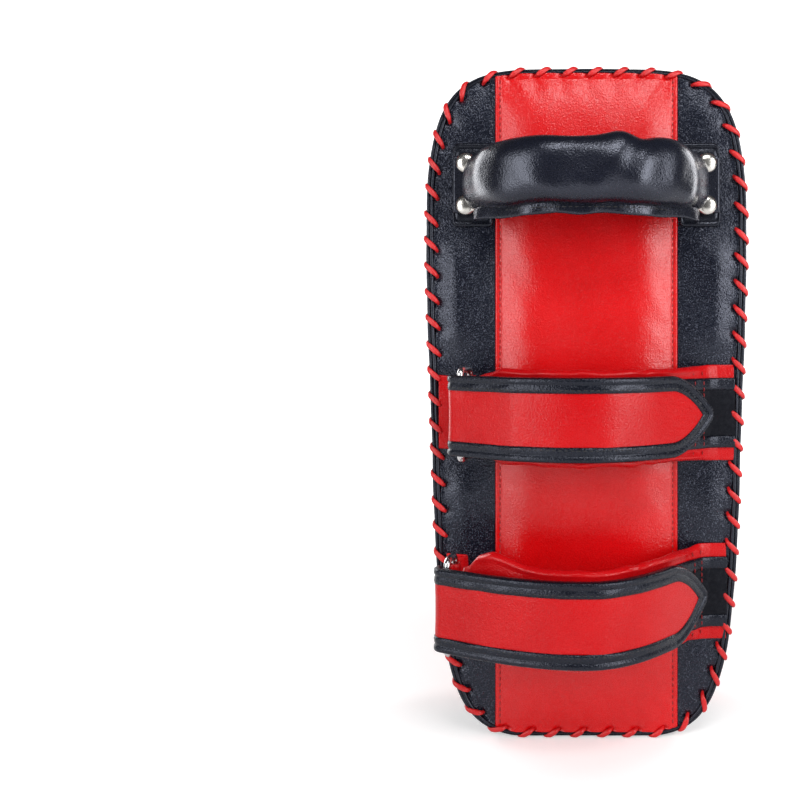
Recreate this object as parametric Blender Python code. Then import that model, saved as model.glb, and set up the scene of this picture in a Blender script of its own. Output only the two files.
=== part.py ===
"""Thai pad standing on its lower end: laced padded body, grab handle and two forearm straps.

Metres, +Z up along the length, the strapped back faces -Y and the strike face +Y.
The origin is the middle of the flat the pad stands on.
"""
import math

import bmesh
import bpy
from mathutils import Vector

# Clearances
GAP = 0.0003                # between pieces that touch
CORD_ROOM = 0.00035         # between the lacing and what it is wound round
TURN = 2 * math.pi

# Padded body
PAD_WIDTH = 0.188
PAD_HEIGHT = 0.400
PAD_DEPTH = 0.090
CORNER_POWER = 4.9          # outline is a superellipse, squarer as this grows
TAPER = 0.072               # share by which the top is wider and the bottom narrower
BASE_CUT = 0.00125          # how much of the bottom curve is levelled to stand on
SECTORS = 56
SKIN = 0.0012               # leather thickness
FACE_ROUND = 0.030
FACE_CROWN = 0.004
COVER_SIDE = 0.007          # straight side of the strike cover, from its seam to its round
SEAM_DEPTH = PAD_DEPTH - FACE_ROUND - COVER_SIDE  # back plane to the seam of gusset and strike cover
SHOCK_LAYER = 0.0245        # thickness of the middle foam layer
STRIKE_LAYER = 0.0315       # thickness of the foam layer behind the strike face

# Laced rim of the back
RIM_INSET = 0.0069          # pad outline to the middle of the two rim rolls
RIM_TILT = math.radians(25)
ROLL_RADIUS = 0.0014
CORD_RADIUS = 0.0011
CORD_EASE = 0.0002          # unit by which a stitch is eased along the gusset hole
STITCHES = 66
GUSSET_SHOULDER = 0.011     # back plane to where the gusset wall is straight
EYELET_LAND = 0.0009        # leather left between the panel edge and a lacing hole

# Forearm channel of the back
SIDE_PANEL = 0.040          # pad side to the edge of the red centre panel
CHANNEL_WIDTH = PAD_WIDTH - 2 * SIDE_PANEL
CHANNEL_RISE = 0.006

# Grab handle
HANDLE_DROP = 0.070         # top of the pad down to the middle of the handle
HANDLE_HEIGHT = PAD_HEIGHT - HANDLE_DROP
HANDLE_RISE = 0.049         # back plane to the top of the sleeve's middle line
SLEEVE_WIDTH = 0.036
SLEEVE_THICK = 0.024
SLEEVE_LIFT = 0.0085        # back plane to the cut ends of the sleeve
WELT_WIDTH = 0.0055
WELT_THICK = 0.0024
HANDLE_WEB_WIDTH = 0.027
HANDLE_WEB_THICK = 0.0024
FOOT_LENGTH = 0.0215
FOOT_WIDTH = 0.034
FOOT_BEND = 0.001           # unit of the bend between the foot and the arch
TAB_WIDTH = 0.024
TAB_STEP = 0.002            # edge of the red centre panel to the tab
TAB_MARGIN = 0.001          # end of the handle web's foot to the tab's outer edge
SLEEVE_SETBACK = 0.0035     # turn of the web's foot back to the end of the sleeve's middle line
TAB_HEIGHT = 0.050
TAB_THICK = 0.0018
TAB_CORNER = 0.003          # cut off the tab's two outer corners

# Rivets of the handle
RIVET_PITCH = 0.025
RIVET_BACK = 0.00745        # end of the handle web's foot back to the rivets
RIVET_HEAD = 0.012
RIVET_DOME = 0.0026
RIVET_SHANK = 0.004
BURR_WIDTH = 0.0095
BURR_THICK = 0.0008

# Forearm straps: height above the base, rise of the arch, place of the ring from the panel edge and its lean
UPPER = {"height": 0.194, "crown": 0.043, "eye_rise": 0.0047, "eye_in": 0.0146, "lean": 106}
LOWER = {"height": 0.0875, "crown": 0.057, "eye_rise": 0.0205, "eye_in": 0.003, "lean": 98}
BASE_WIDTH = 0.054
BASE_THICK = 0.005
STRAP_NECK = 0.002          # how much the strap draws in on each side beside its left end
STRAP_FOAM_WIDTH = 0.036
TONGUE = 0.013              # thin laced end of a strap
LOOP_WIDTH = 0.038
TAPE_THICK = 0.0011
FLAP_WIDTH = 0.044
FLAP_THICK = 0.0026
TIP_LENGTH = 0.032
TIP_STATIONS = (0, 0.4, 0.72, 0.92, 1.0)  # shares of the tip at which its outline is drawn
BINDING_THICK = 0.0008
BINDING_WIDTH = 0.0075
HOOK_WIDTH = 0.028
HOOK_LENGTH = 0.055
RING_WIRE = 0.004
RING_SPAN = 0.014           # between the two long bars
RING_ROOM = 0.0012          # flap edge to the ring's short bars
RING_CORNER = 0.0035
ANCHOR_WIDTH = 0.044
ANCHOR_THICK = 0.0018
ANCHOR_BEND = 0.001         # unit of the bends of a tab that stands up to its ring


def clear_scene():
    for item in list(bpy.data.objects):
        bpy.data.objects.remove(item, do_unlink=True)


def material(name, colour, roughness, metallic=0.0):
    made = bpy.data.materials.new(name)
    made.use_nodes = True
    shader = made.node_tree.nodes["Principled BSDF"]
    shader.inputs["Base Color"].default_value = (*colour, 1)
    shader.inputs["Roughness"].default_value = roughness
    shader.inputs["Metallic"].default_value = metallic
    return made


RED = (0.52, 0.012, 0.014)
BLACK = (0.012, 0.012, 0.015)
NICKEL = (0.60, 0.59, 0.57)
LOOKS = {
    "red": (RED, 0.42, 0.0), "black": (BLACK, 0.45, 0.0), "cord": ((0.56, 0.02, 0.02), 0.6, 0.0),
    "tape": ((0.008, 0.008, 0.009), 0.95, 0.0), "web": (BLACK, 0.8, 0.0),
    "metal": (NICKEL, 0.25, 1.0), "foam": ((0.20, 0.20, 0.21), 0.9, 0.0),
    "pale": ((0.62, 0.60, 0.55), 0.9, 0.0),
}


def finish_mesh(name, verts, faces, look):
    """One closed mesh object with outward normals and its own material."""
    mesh = bpy.data.meshes.new(name)
    mesh.from_pydata([tuple(v) for v in verts], [], faces)
    sorter = bmesh.new()
    sorter.from_mesh(mesh)
    bmesh.ops.recalc_face_normals(sorter, faces=sorter.faces)
    sorter.to_mesh(mesh)
    sorter.free()
    mesh.materials.append(material(name, *LOOKS[look]))
    made = bpy.data.objects.new(name, mesh)
    bpy.context.scene.collection.objects.link(made)
    return made


def loft(name, rings, look, looped=False):
    """Solid through equal rings of points, end faces closed unless the path is a loop."""
    size = len(rings[0])
    verts = [point for ring in rings for point in ring]
    steps = len(rings) if looped else len(rings) - 1
    faces = []
    for step in range(steps):
        here, there = step * size, (step + 1) % len(rings) * size
        for i in range(size):
            j = (i + 1) % size
            faces.append((here + i, here + j, there + j, there + i))
    if not looped:
        faces.append(tuple(range(size)))
        faces.append(tuple(range(len(verts) - 1, len(verts) - 1 - size, -1)))
    return finish_mesh(name, verts, faces, look)


def sleeve(name, outer, inner, look):
    """Hollow tube open at both ends, from its outer and inner rings."""
    size, last = len(outer[0]), len(outer) - 1
    verts = [p for ring in outer + inner for p in ring]
    shift = size * len(outer)
    faces = []
    for i in range(size):
        j = (i + 1) % size
        for step in range(last):
            a, b = step * size, (step + 1) * size
            faces.append((a + i, a + j, b + j, b + i))
            faces.append((shift + a + j, shift + a + i, shift + b + i, shift + b + j))
        end = last * size
        faces.append((i, shift + i, shift + j, j))
        faces.append((end + j, shift + end + j, shift + end + i, end + i))
    return finish_mesh(name, verts, faces, look)


def hang(made, point):
    """Move the object's origin onto its joint's axis, leaving its surface in place."""
    for vertex in made.data.vertices:
        vertex.co -= point
    made.location = point


def cut(target, cutter):
    """Take the cutter's volume out of the target."""
    step = target.modifiers.new("cut", "BOOLEAN")
    step.operation = "DIFFERENCE"
    step.solver = "EXACT"
    step.object = cutter
    return target


def cutter_from(name, solids):
    """Hidden mesh of several loose prisms, each given as two end rings."""
    verts, faces = [], []
    for first, second in solids:
        start, size = len(verts), len(first)
        verts += [*first, *second]
        faces += [(start + i, start + (i + 1) % size, start + size + (i + 1) % size, start + size + i)
                  for i in range(size)]
        faces += [tuple(range(start + size - 1, start - 1, -1)),
                  tuple(range(start + size, start + 2 * size))]
    made = finish_mesh(name, verts, faces, "foam")
    made.hide_render = True
    made.hide_set(True)
    return made


# Outline of the pad

HALF_HEIGHT = (PAD_HEIGHT + BASE_CUT) / 2
MIDDLE = PAD_HEIGHT - HALF_HEIGHT


def outline(angle):
    """Outline point (x, z) and inward normal at an angle of the superellipse."""
    def raw(t):
        c, s = math.cos(t), math.sin(t)
        across = math.copysign(abs(c) ** (2 / CORNER_POWER), c)
        up = math.copysign(abs(s) ** (2 / CORNER_POWER), s)
        return PAD_WIDTH / 2 * across * (1 + TAPER * up), MIDDLE + HALF_HEIGHT * up
    x, z = raw(angle)
    (xa, za), (xb, zb) = raw(angle - 1e-4), raw(angle + 1e-4)
    length = math.hypot(xb - xa, zb - za)
    return x, max(z, 0.0), -(zb - za) / length, (xb - xa) / length


def at_depth(depth):
    """Y of a plane this far in from the back plane."""
    return depth - PAD_DEPTH / 2


def at_rise(rise):
    """Y of a plane this far out from the back plane."""
    return -PAD_DEPTH / 2 - rise


ANGLES = [(k + 0.5) * TURN / SECTORS for k in range(SECTORS)]
OUTLINE = [outline(angle) for angle in ANGLES]


def ring(inset, depth, scale=1.0):
    """Outline drawn in along its normal, then scaled towards the pad's middle."""
    points = []
    for x, z, nx, nz in OUTLINE:
        px, pz = x + nx * inset, z + nz * inset
        points.append(Vector((px * scale, at_depth(depth), MIDDLE + (pz - MIDDLE) * scale)))
    return points


def edge_height(x, inset, top):
    """Height at which the drawn-in outline crosses x, at the top or the bottom."""
    points = ring(inset, 0)
    for a, b in zip(points, points[1:] + points[:1]):
        if (a.z + b.z > 2 * MIDDLE) == top and (a.x - x) * (b.x - x) <= 0 and a.x != b.x:
            return a.z + (b.z - a.z) * (x - a.x) / (b.x - a.x)
    raise ValueError("x lies outside the outline")


def edge_half_width(height, inset):
    """Half-width of the drawn-in outline at a height."""
    points = ring(inset, 0)
    for a, b in zip(points, points[1:] + points[:1]):
        if a.x + b.x > 0 and (a.z - height) * (b.z - height) <= 0 and a.z != b.z:
            return a.x + (b.x - a.x) * (height - a.z) / (b.z - a.z)
    raise ValueError("height lies outside the outline")


# Section of the laced rim: (inset, rise) points, rise counted outwards from the back plane

ROLL_SPREAD = ROLL_RADIUS + GAP * 2 / 3
ROLL_IN = (RIM_INSET + ROLL_SPREAD * math.cos(RIM_TILT), ROLL_SPREAD * math.sin(RIM_TILT))
ROLL_OUT = (RIM_INSET - ROLL_SPREAD * math.cos(RIM_TILT), -ROLL_SPREAD * math.sin(RIM_TILT))
PANEL_INSET = ROLL_IN[0] + ROLL_RADIUS + GAP
EYELET_INSET = PANEL_INSET + EYELET_LAND + CORD_RADIUS + CORD_ROOM
GUSSET_EDGE = (ROLL_OUT[0] - (ROLL_RADIUS + 2 * GAP) * 0.7071,
               ROLL_OUT[1] - (ROLL_RADIUS + 2 * GAP) * 0.7071)


def round_roll(roll, degrees, spare):
    """Cord middle that clears a rim roll on this side, with spare room for the bend there."""
    reach = (ROLL_RADIUS + CORD_RADIUS + CORD_ROOM) * spare
    return (roll[0] + reach * math.cos(math.radians(degrees)),
            roll[1] + reach * math.sin(math.radians(degrees)))


GUSSET_STEP = (-GUSSET_EDGE[0], -(GUSSET_SHOULDER + GUSSET_EDGE[1]))
STEP_LENGTH = math.hypot(*GUSSET_STEP)
HOLE_AT = 0.36              # share of the gusset's slope where the lacing goes through
HOLE_MID = (GUSSET_EDGE[0] + GUSSET_STEP[0] * HOLE_AT, GUSSET_EDGE[1] + GUSSET_STEP[1] * HOLE_AT)
SLOPE_OUT = (GUSSET_STEP[1] / STEP_LENGTH, -GUSSET_STEP[0] / STEP_LENGTH)
CORD_STAND = CORD_RADIUS + CORD_ROOM
LOOP = [
    (EYELET_INSET, -SKIN - CORD_RADIUS * 2),
    (EYELET_INSET, 2 * SKIN + CORD_RADIUS + CORD_ROOM),
    round_roll(ROLL_IN, 85, 1.23),
    round_roll(ROLL_OUT, 150, 1.155),
    (HOLE_MID[0] + SLOPE_OUT[0] * CORD_STAND, HOLE_MID[1] + SLOPE_OUT[1] * CORD_STAND + 4 * CORD_EASE),
    (HOLE_MID[0] - SLOPE_OUT[0] * CORD_STAND * 2,
     HOLE_MID[1] - SLOPE_OUT[1] * CORD_STAND * 2 - 7 * CORD_EASE),
]


def rim_track():
    """Evenly spaced places along the rim, clockwise seen from the back, from the bottom middle."""
    count = 1440
    places, lengths = [], [0.0]
    for k in range(count + 1):
        places.append(outline(-math.pi / 2 - TURN * k / count))
        if k:
            a, b = places[-2], places[-1]
            lengths.append(lengths[-1] + math.hypot(
                b[0] + b[2] * RIM_INSET - a[0] - a[2] * RIM_INSET,
                b[1] + b[3] * RIM_INSET - a[1] - a[3] * RIM_INSET))
    return places, lengths


TRACK, TRACK_LENGTHS = rim_track()
PITCH = TRACK_LENGTHS[-1] / STITCHES


def on_rim(distance, inset, rise):
    """Point beside the rim at a distance along it."""
    low, high = 0, len(TRACK) - 1
    while high - low > 1:
        half = (low + high) // 2
        if TRACK_LENGTHS[half] <= distance:
            low = half
        else:
            high = half
    share = (distance - TRACK_LENGTHS[low]) / (TRACK_LENGTHS[high] - TRACK_LENGTHS[low])
    x, z, nx, nz = (a + (b - a) * share for a, b in zip(TRACK[low], TRACK[high]))
    return Vector((x + nx * inset, at_rise(rise), z + nz * inset))


LOOP_STEPS = [math.dist(a, b) for a, b in zip(LOOP, LOOP[1:] + LOOP[:1])]
LOOP_SHARES = [sum(LOOP_STEPS[:k]) / sum(LOOP_STEPS) for k in range(len(LOOP))]


def cord_path():
    path = []
    for stitch in range(STITCHES):
        for (inset, rise), share in zip(LOOP, LOOP_SHARES):
            path.append(on_rim(min((stitch + share) * PITCH, TRACK_LENGTHS[-1] - 1e-6), inset, rise))
    return path[:-1]


def square_prism(a, b, reach, extra):
    """Square prism round the line a-b, run on past both ends."""
    along = (b - a).normalized()
    side = along.cross(Vector((0, 1, 0.137))).normalized() * reach
    lift = along.cross(side)
    ends = []
    for point in (a - along * extra, b + along * extra):
        ends.append([point + side + lift, point - side + lift, point - side - lift, point + side - lift])
    return ends


def eyelet_cutter(name, first, extra):
    """Prisms along one leg of every lacing stitch."""
    prisms = []
    path = cord_path() + [None]
    for stitch in range(STITCHES):
        k = stitch * len(LOOP) + first
        if path[k + 1] is not None:
            prisms.append(square_prism(path[k], path[k + 1], CORD_RADIUS + CORD_ROOM, extra))
    return cutter_from(name, prisms)


def cord(name, path, radius, look):
    """One unbroken tube with filled ends along a path."""
    data = bpy.data.curves.new(name, "CURVE")
    data.dimensions = "3D"
    data.bevel_depth = radius
    data.bevel_resolution = 1
    data.use_fill_caps = True
    line = data.splines.new("POLY")
    line.points.add(len(path) - 1)
    for place, point in zip(line.points, path):
        place.co = (*point, 1)
    data.materials.append(material(name, *LOOKS[look]))
    made = bpy.data.objects.new(name, data)
    bpy.context.scene.collection.objects.link(made)
    return made


def print_self_gap(name, path, radius):
    """Least gap between turns of a cord that are more than one stitch apart."""
    least = min((path[i] - path[j]).length for i in range(len(path))
                for j in range(i + 5, min(i + 40, len(path))))
    print(f"{name}: least gap to itself {1000 * (least - 2 * radius):.2f} mm")


# Body

def round_edge(steps, inset, depth, radius):
    """Quarter round from the straight side to the flat face."""
    return [(inset + radius * (1 - math.cos(k * math.pi / 2 / steps)),
             depth - radius * (1 - math.sin(k * math.pi / 2 / steps))) for k in range(steps + 1)]


def build_covers():
    outer = round_edge(4, 0, PAD_DEPTH, FACE_ROUND)
    inner = round_edge(4, SKIN, PAD_DEPTH - SKIN, FACE_ROUND - SKIN)
    rings = [ring(FACE_ROUND, PAD_DEPTH + FACE_CROWN, 0.5)]
    rings += [ring(inset, depth) for inset, depth in reversed(outer)]
    rings += [ring(0, SEAM_DEPTH + GAP / 2), ring(SKIN, SEAM_DEPTH + GAP / 2)]
    rings += [ring(inset, depth) for inset, depth in inner]
    rings += [ring(FACE_ROUND, PAD_DEPTH + FACE_CROWN - SKIN, 0.5)]
    loft("strike_cover", rings, "red")

    slope_in = (-SLOPE_OUT[0] * SKIN, -SLOPE_OUT[1] * SKIN)
    section = [GUSSET_EDGE, (0, -GUSSET_SHOULDER), (0, GAP / 2 - SEAM_DEPTH), (SKIN, GAP / 2 - SEAM_DEPTH),
               (SKIN, slope_in[1] / 2 - GUSSET_SHOULDER),
               (GUSSET_EDGE[0] + slope_in[0], GUSSET_EDGE[1] + slope_in[1])]
    gusset = band("side_gusset", section, "black")
    cut(gusset, eyelet_cutter("gusset_eyelets", 4, 2 * GAP))


def band(name, section, look):
    """Closed section of (inset, rise) points swept round the pad's outline."""
    columns = [ring(inset, -rise) for inset, rise in section]
    return loft(name, [[column[k] for column in columns] for k in range(SECTORS)], look, looped=True)


def build_rim():
    for name, (inset, rise) in (("rim_roll_back", ROLL_IN), ("rim_roll_side", ROLL_OUT)):
        section = [(inset + ROLL_RADIUS * math.cos(k * TURN / 6), rise + ROLL_RADIUS * math.sin(k * TURN / 6))
                   for k in range(6)]
        band(name, section, "black")
    path = cord_path()
    cord("edge_lacing", path, CORD_RADIUS, "cord")
    print_self_gap("edge_lacing", path, CORD_RADIUS)


SEAM_X = CHANNEL_WIDTH / 2


def channel_rise(across, up):
    """Rise of the forearm channel: across and up run from -1 to 1 over its width and length."""
    return CHANNEL_RISE * (1 - across ** 4) * (1 - abs(up) ** 10)


CHANNEL_COLUMNS = [-1, -0.88, -0.62, -0.3, 0.0, 0.3, 0.62, 0.88, 1]
CHANNEL_ROWS = [-1, -0.97, -0.9, -0.72, -0.36, 0, 0.36, 0.72, 0.9, 0.97, 1]


def channel_sheet(name, columns, rows, top_drop, base_rise, look):
    """Closed sheet over part of the channel, its top following the channel's crown."""
    tops, lows = [], []
    for across in columns:
        x = across * (CHANNEL_WIDTH - GAP) / 2
        low, high = edge_height(x, PANEL_INSET, False), edge_height(x, PANEL_INSET, True)
        for up in rows:
            z = (low + high) / 2 + (high - low) / 2 * up
            rise = channel_rise(across, up)
            tops.append(Vector((x, at_rise(rise - top_drop), z)))
            lows.append(Vector((x, at_rise(rise - SKIN if base_rise is None else base_rise), z)))
    verts, shift, height = tops + lows, len(tops), len(rows)
    faces, last = [], len(columns) - 1
    for i in range(last):
        for j in range(height - 1):
            a = i * height + j
            faces.append((a, a + 1, a + height + 1, a + height))
            faces.append((shift + a, shift + a + height, shift + a + height + 1, shift + a + 1))
    for j in range(height - 1):
        for a, b in ((j, j + 1), (last * height + j + 1, last * height + j)):
            faces.append((a, shift + a, shift + b, b))
    for i in range(last):
        for a, b in ((i * height + height, i * height),
                     (i * height + height - 1, i * height + 2 * height - 1)):
            faces.append((a, shift + a, shift + b, b))
    return finish_mesh(name, verts, faces, look)


def prism(name, polygon, rise_low, rise_high, look):
    """Flat plate in the XZ plane between two rises off the back plane."""
    return loft(name, [[Vector((x, at_rise(rise), z)) for x, z in polygon]
                       for rise in (rise_low, rise_high)], look)


def build_back(eyelets, shank_holes):
    seam = SEAM_X + GAP / 2
    edge = [(p.x, p.z) for p in ring(PANEL_INSET, 0)]
    right = sorted((p for p in edge if p[0] > seam + 3 * GAP), key=lambda p: p[1])
    right = [(seam, edge_height(seam, PANEL_INSET, False)), *right,
             (seam, edge_height(seam, PANEL_INSET, True))]
    for side, name in ((-1, "back_panel_left"), (1, "back_panel_right")):
        panel = prism(name, [(side * x, z) for x, z in right], -SKIN, 0, "black")
        cut(cut(panel, eyelets), shank_holes)
    forearm = channel_sheet("forearm_panel", CHANNEL_COLUMNS, CHANNEL_ROWS, 0, None, "red")
    cut(forearm, eyelets)
    channel_sheet("forearm_cushion", CHANNEL_COLUMNS[1:-1], CHANNEL_ROWS[2:-2], SKIN + GAP, -SKIN, "pale")


def build_foam(burr_pockets):
    """Three foam layers filling the covers, from the back to the strike face."""
    second = PAD_DEPTH - STRIKE_LAYER
    first = second - SHOCK_LAYER
    wall = SKIN + GAP
    inside = LOOP[-1][1] - CORD_RADIUS - 4 * GAP
    under = LOOP[0][1] - CORD_RADIUS - 4 * GAP
    flank = EYELET_INSET + CORD_RADIUS + 4 * GAP
    back = loft("back_foam", [
        ring(flank + 2 * GAP, SKIN + GAP), ring(flank, -under), ring(LOOP[-1][0], -inside),
        ring(wall + GAP, GUSSET_SHOULDER + 5 * GAP), ring(wall, first - GAP / 2)], "foam")
    cut(back, burr_pockets)
    loft("shock_foam", [ring(wall, first + GAP / 2), ring(wall, second - GAP / 2)], "pale")
    face = round_edge(4, wall, PAD_DEPTH - wall, FACE_ROUND - wall)
    loft("strike_foam", [ring(wall, second + GAP / 2)] + [ring(i, d) for i, d in face[1:]]
         + [ring(FACE_ROUND, PAD_DEPTH + FACE_CROWN - wall, 0.5)], "foam")


# Pieces bent along a route in the XY plane

def frames(route):
    """(point, outward direction) along a route of (x, rise) points."""
    found = []
    for k, (x, rise) in enumerate(route):
        a, b = route[max(k - 1, 0)], route[min(k + 1, len(route) - 1)]
        length = math.dist(a, b)
        found.append(((x, rise), (-(b[1] - a[1]) / length, (b[0] - a[0]) / length)))
    return found


def place(frame, out, up, height):
    """Point this far out from a route and this far up from the strap's middle height."""
    (x, rise), (ox, orise) = frame
    return Vector((x + ox * out, at_rise(rise + orise * out), height + up))


def strip(name, route, half_widths, lows, highs, height, look, laced=None):
    """Solid strip along a route: half-width and inner and outer face given per station.

    The laced station's ends are moved along X to follow the edge of the back panel.
    """
    rings = []
    for frame, half, low, high in zip(frames(route), half_widths, lows, highs):
        rings.append([place(frame, low, -half, height), place(frame, high, -half, height),
                      place(frame, high, half, height), place(frame, low, half, height)])
    if laced is not None:
        for point in rings[laced]:
            point.x = math.copysign(edge_half_width(point.z, PANEL_INSET) - GAP, point.x)
    return loft(name, rings, look)


def oval(half_up, half_out, power, count=12):
    """Superellipse section as (up, out) points."""
    points = []
    for k in range(count):
        c, s = math.cos((k + 0.5) * TURN / count), math.sin((k + 0.5) * TURN / count)
        points.append((half_up * math.copysign(abs(c) ** (2 / power), c),
                       half_out * math.copysign(abs(s) ** (2 / power), s)))
    return points


def tube_rings(route, section, height):
    return [[place(frame, out, up, height) for up, out in section] for frame in frames(route)]


# Grab handle

ARCH_POWER = 2.5
FOOT_RISE = TAB_THICK + 2 * GAP     # underside of the handle web's feet
TAB_INNER = CHANNEL_WIDTH / 2 + TAB_STEP
FOOT_TURN = TAB_INNER + TAB_WIDTH - TAB_MARGIN - FOOT_LENGTH
HANDLE_SPAN = 2 * (FOOT_TURN - SLEEVE_SETBACK)  # between the two ends of the sleeve's middle line
RIVET_X = FOOT_TURN + FOOT_LENGTH - RIVET_BACK


def handle_arch(count):
    """Middle line of the sleeve: half a superellipse standing on the back."""
    points = []
    for k in range(count + 1):
        angle = math.pi - math.pi * k / count
        c, s = math.cos(angle), abs(math.sin(angle))
        points.append((HANDLE_SPAN / 2 * math.copysign(abs(c) ** (2 / ARCH_POWER), c),
                       SLEEVE_LIFT + (HANDLE_RISE - SLEEVE_LIFT) * s ** (2 / ARCH_POWER)))
    return points


def build_handle(shank_holes):
    route = handle_arch(10)
    outer = oval(SLEEVE_WIDTH / 2, SLEEVE_THICK / 2, 2.6)
    lining = oval(SLEEVE_WIDTH / 2 - SKIN, SLEEVE_THICK / 2 - SKIN, 2.6)
    filling = oval(SLEEVE_WIDTH / 2 - SKIN - GAP, SLEEVE_THICK / 2 - SKIN - GAP, 2.6)
    bore = oval(HANDLE_WEB_WIDTH / 2 + GAP, HANDLE_WEB_THICK / 2 + 2 * GAP, 12)
    sleeve("handle_cover", tube_rings(route, outer, HANDLE_HEIGHT),
           tube_rings(route, lining, HANDLE_HEIGHT), "black")
    sleeve("handle_foam", tube_rings(route, filling, HANDLE_HEIGHT),
           tube_rings(route, bore, HANDLE_HEIGHT), "pale")
    welt = HANDLE_HEIGHT - SLEEVE_WIDTH / 2 - GAP - WELT_WIDTH / 2
    strip("handle_welt", route[1:-1], [WELT_WIDTH / 2] * 9, [-WELT_THICK / 2] * 9,
          [WELT_THICK / 2] * 9, welt, "black")

    half = HANDLE_WEB_THICK / 2
    flat = FOOT_RISE + half
    foot = [(FOOT_TURN + FOOT_LENGTH, flat), (FOOT_TURN + 0.8 * FOOT_BEND, flat),
            (FOOT_TURN - 0.6 * FOOT_BEND, flat), (FOOT_TURN - 2.6 * FOOT_BEND, flat + 1.2 * FOOT_BEND),
            (HANDLE_SPAN / 2 + 0.1 * FOOT_BEND, flat + 3.5 * FOOT_BEND)]
    web = [(-x, rise) for x, rise in foot] + route + foot[::-1]
    count = len(web)
    ends = [FOOT_WIDTH / 2] * 3
    strap = strip("handle_web", web, ends + [HANDLE_WEB_WIDTH / 2] * (count - 6) + ends, [-half] * count,
                  [half] * count, HANDLE_HEIGHT, "web")
    cut(strap, shank_holes)
    outer = TAB_INNER + TAB_WIDTH
    clear = EYELET_INSET + CORD_RADIUS + 3 * GAP
    rows = [HANDLE_HEIGHT + TAB_HEIGHT * share for share in (-0.5, -0.45, -0.3, 0.0, 0.3, 0.45, 0.5)]
    trim = [TAB_CORNER, 0, 0, 0, 0, 0, TAB_CORNER]
    edge = [(min(outer - less, edge_half_width(z, clear)), z) for z, less in zip(rows, trim)]
    corners = edge + [(TAB_INNER, rows[-1]), (TAB_INNER, rows[0])]
    for side, name in ((-1, "handle_tab_left"), (1, "handle_tab_right")):
        tab = prism(name, [(side * x, z) for x, z in corners], GAP, GAP + TAB_THICK, "black")
        cut(tab, shank_holes)


def rivet_places():
    return [(side * RIVET_X, HANDLE_HEIGHT + row * RIVET_PITCH / 2, f"{where}_{level}")
            for side, where in ((-1, "left"), (1, "right")) for row, level in ((1, "top"), (-1, "bottom"))]


def disc(x, z, radius, rise, count=12):
    return [Vector((x + radius * math.cos(k * TURN / count), at_rise(rise),
                    z + radius * math.sin(k * TURN / count))) for k in range(count)]


HEAD_RISE = FOOT_RISE + HANDLE_WEB_THICK + GAP
BURR_DEPTH = SKIN + GAP


def build_rivets():
    tail = -(BURR_DEPTH + BURR_THICK + 2 * GAP)
    for x, z, where in rivet_places():
        head, shank = RIVET_HEAD / 2, RIVET_SHANK / 2
        profile = [(shank * 0.8, tail), (shank, tail + GAP), (shank, HEAD_RISE),
                   (head, HEAD_RISE), (head * 0.93, HEAD_RISE + RIVET_DOME * 0.45),
                   (head * 0.62, HEAD_RISE + RIVET_DOME * 0.88), (head * 0.25, HEAD_RISE + RIVET_DOME)]
        loft(f"rivet_{where}", [disc(x, z, radius, rise) for radius, rise in profile], "metal")
        outer, bore = BURR_WIDTH / 2, shank + GAP
        faces = (-BURR_DEPTH, -BURR_DEPTH - BURR_THICK)
        sleeve(f"rivet_burr_{where}", [disc(x, z, outer, rise) for rise in faces],
               [disc(x, z, bore, rise) for rise in faces], "metal")


# Forearm straps

def strap_places(strap):
    """Ring bars and strap ends as (x, rise) points at the strap's own height."""
    half = edge_half_width(strap["height"], PANEL_INSET)
    eye = (-(half - strap["eye_in"]), strap["eye_rise"])
    lean = math.radians(strap["lean"])
    bar = (eye[0] + RING_SPAN * math.cos(lean), eye[1] + RING_SPAN * math.sin(lean))
    return half - GAP, eye, bar


def rising(right, crown, count):
    """Right half of a strap's arch, from the crown down to its foot on the back."""
    return [(right[0] * k / count,
             right[1] + (crown - right[1]) * math.sin((1 - k / count) * math.pi / 2) ** 1.2)
            for k in range(1, count + 1)]


def falling(left, crown, count):
    """Left half of a strap's arch, from its left end up to the crown."""
    return [(left[0] * k / count, left[1] + (crown - left[1]) * math.cos(k / count * math.pi / 2))
            for k in range(count, -1, -1)]


STACK = BASE_THICK / 2 + 2 * TAPE_THICK + 3 * GAP + BINDING_THICK + FLAP_THICK / 2
KNUCKLE = RING_WIRE / 2 + 2 * GAP + BINDING_THICK + FLAP_THICK / 2
KNUCKLE_OUT = KNUCKLE + FLAP_THICK / 2 + GAP + BINDING_THICK


def strap_routes(strap):
    """Route of the padded strap and, out from the ring bar, of its flap."""
    end, eye, bar = strap_places(strap)
    flat = GAP + BASE_THICK / 2
    left = (bar[0] + KNUCKLE_OUT + 8 * GAP, bar[1] - KNUCKLE * 0.9)
    base = falling(left, strap["crown"], 6) + rising((end - TONGUE, flat), strap["crown"], 6)
    base += [(end - TONGUE * 0.75, flat), (end, flat)]

    crown = strap["crown"] + STACK
    drop = math.atan(math.pi / 2 * (crown - bar[1] - KNUCKLE) / -bar[0])
    start = math.pi / 2 + drop
    meet = (bar[0] + KNUCKLE * math.cos(start), bar[1] + KNUCKLE * math.sin(start))
    curl = [(bar[0] + KNUCKLE * math.cos(start + (4.5 - start) * k / 4),
             bar[1] + KNUCKLE * math.sin(start + (4.5 - start) * k / 4)) for k in range(4, 0, -1)]
    over = [(x + ox * STACK, rise + orise * STACK) for (x, rise), (ox, orise) in frames(base)[7:13]]
    return base, curl + falling(meet, crown, 6) + over


def spacing(route):
    total = [0.0]
    for a, b in zip(route, route[1:]):
        total.append(total[-1] + math.dist(a, b))
    return total


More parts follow.
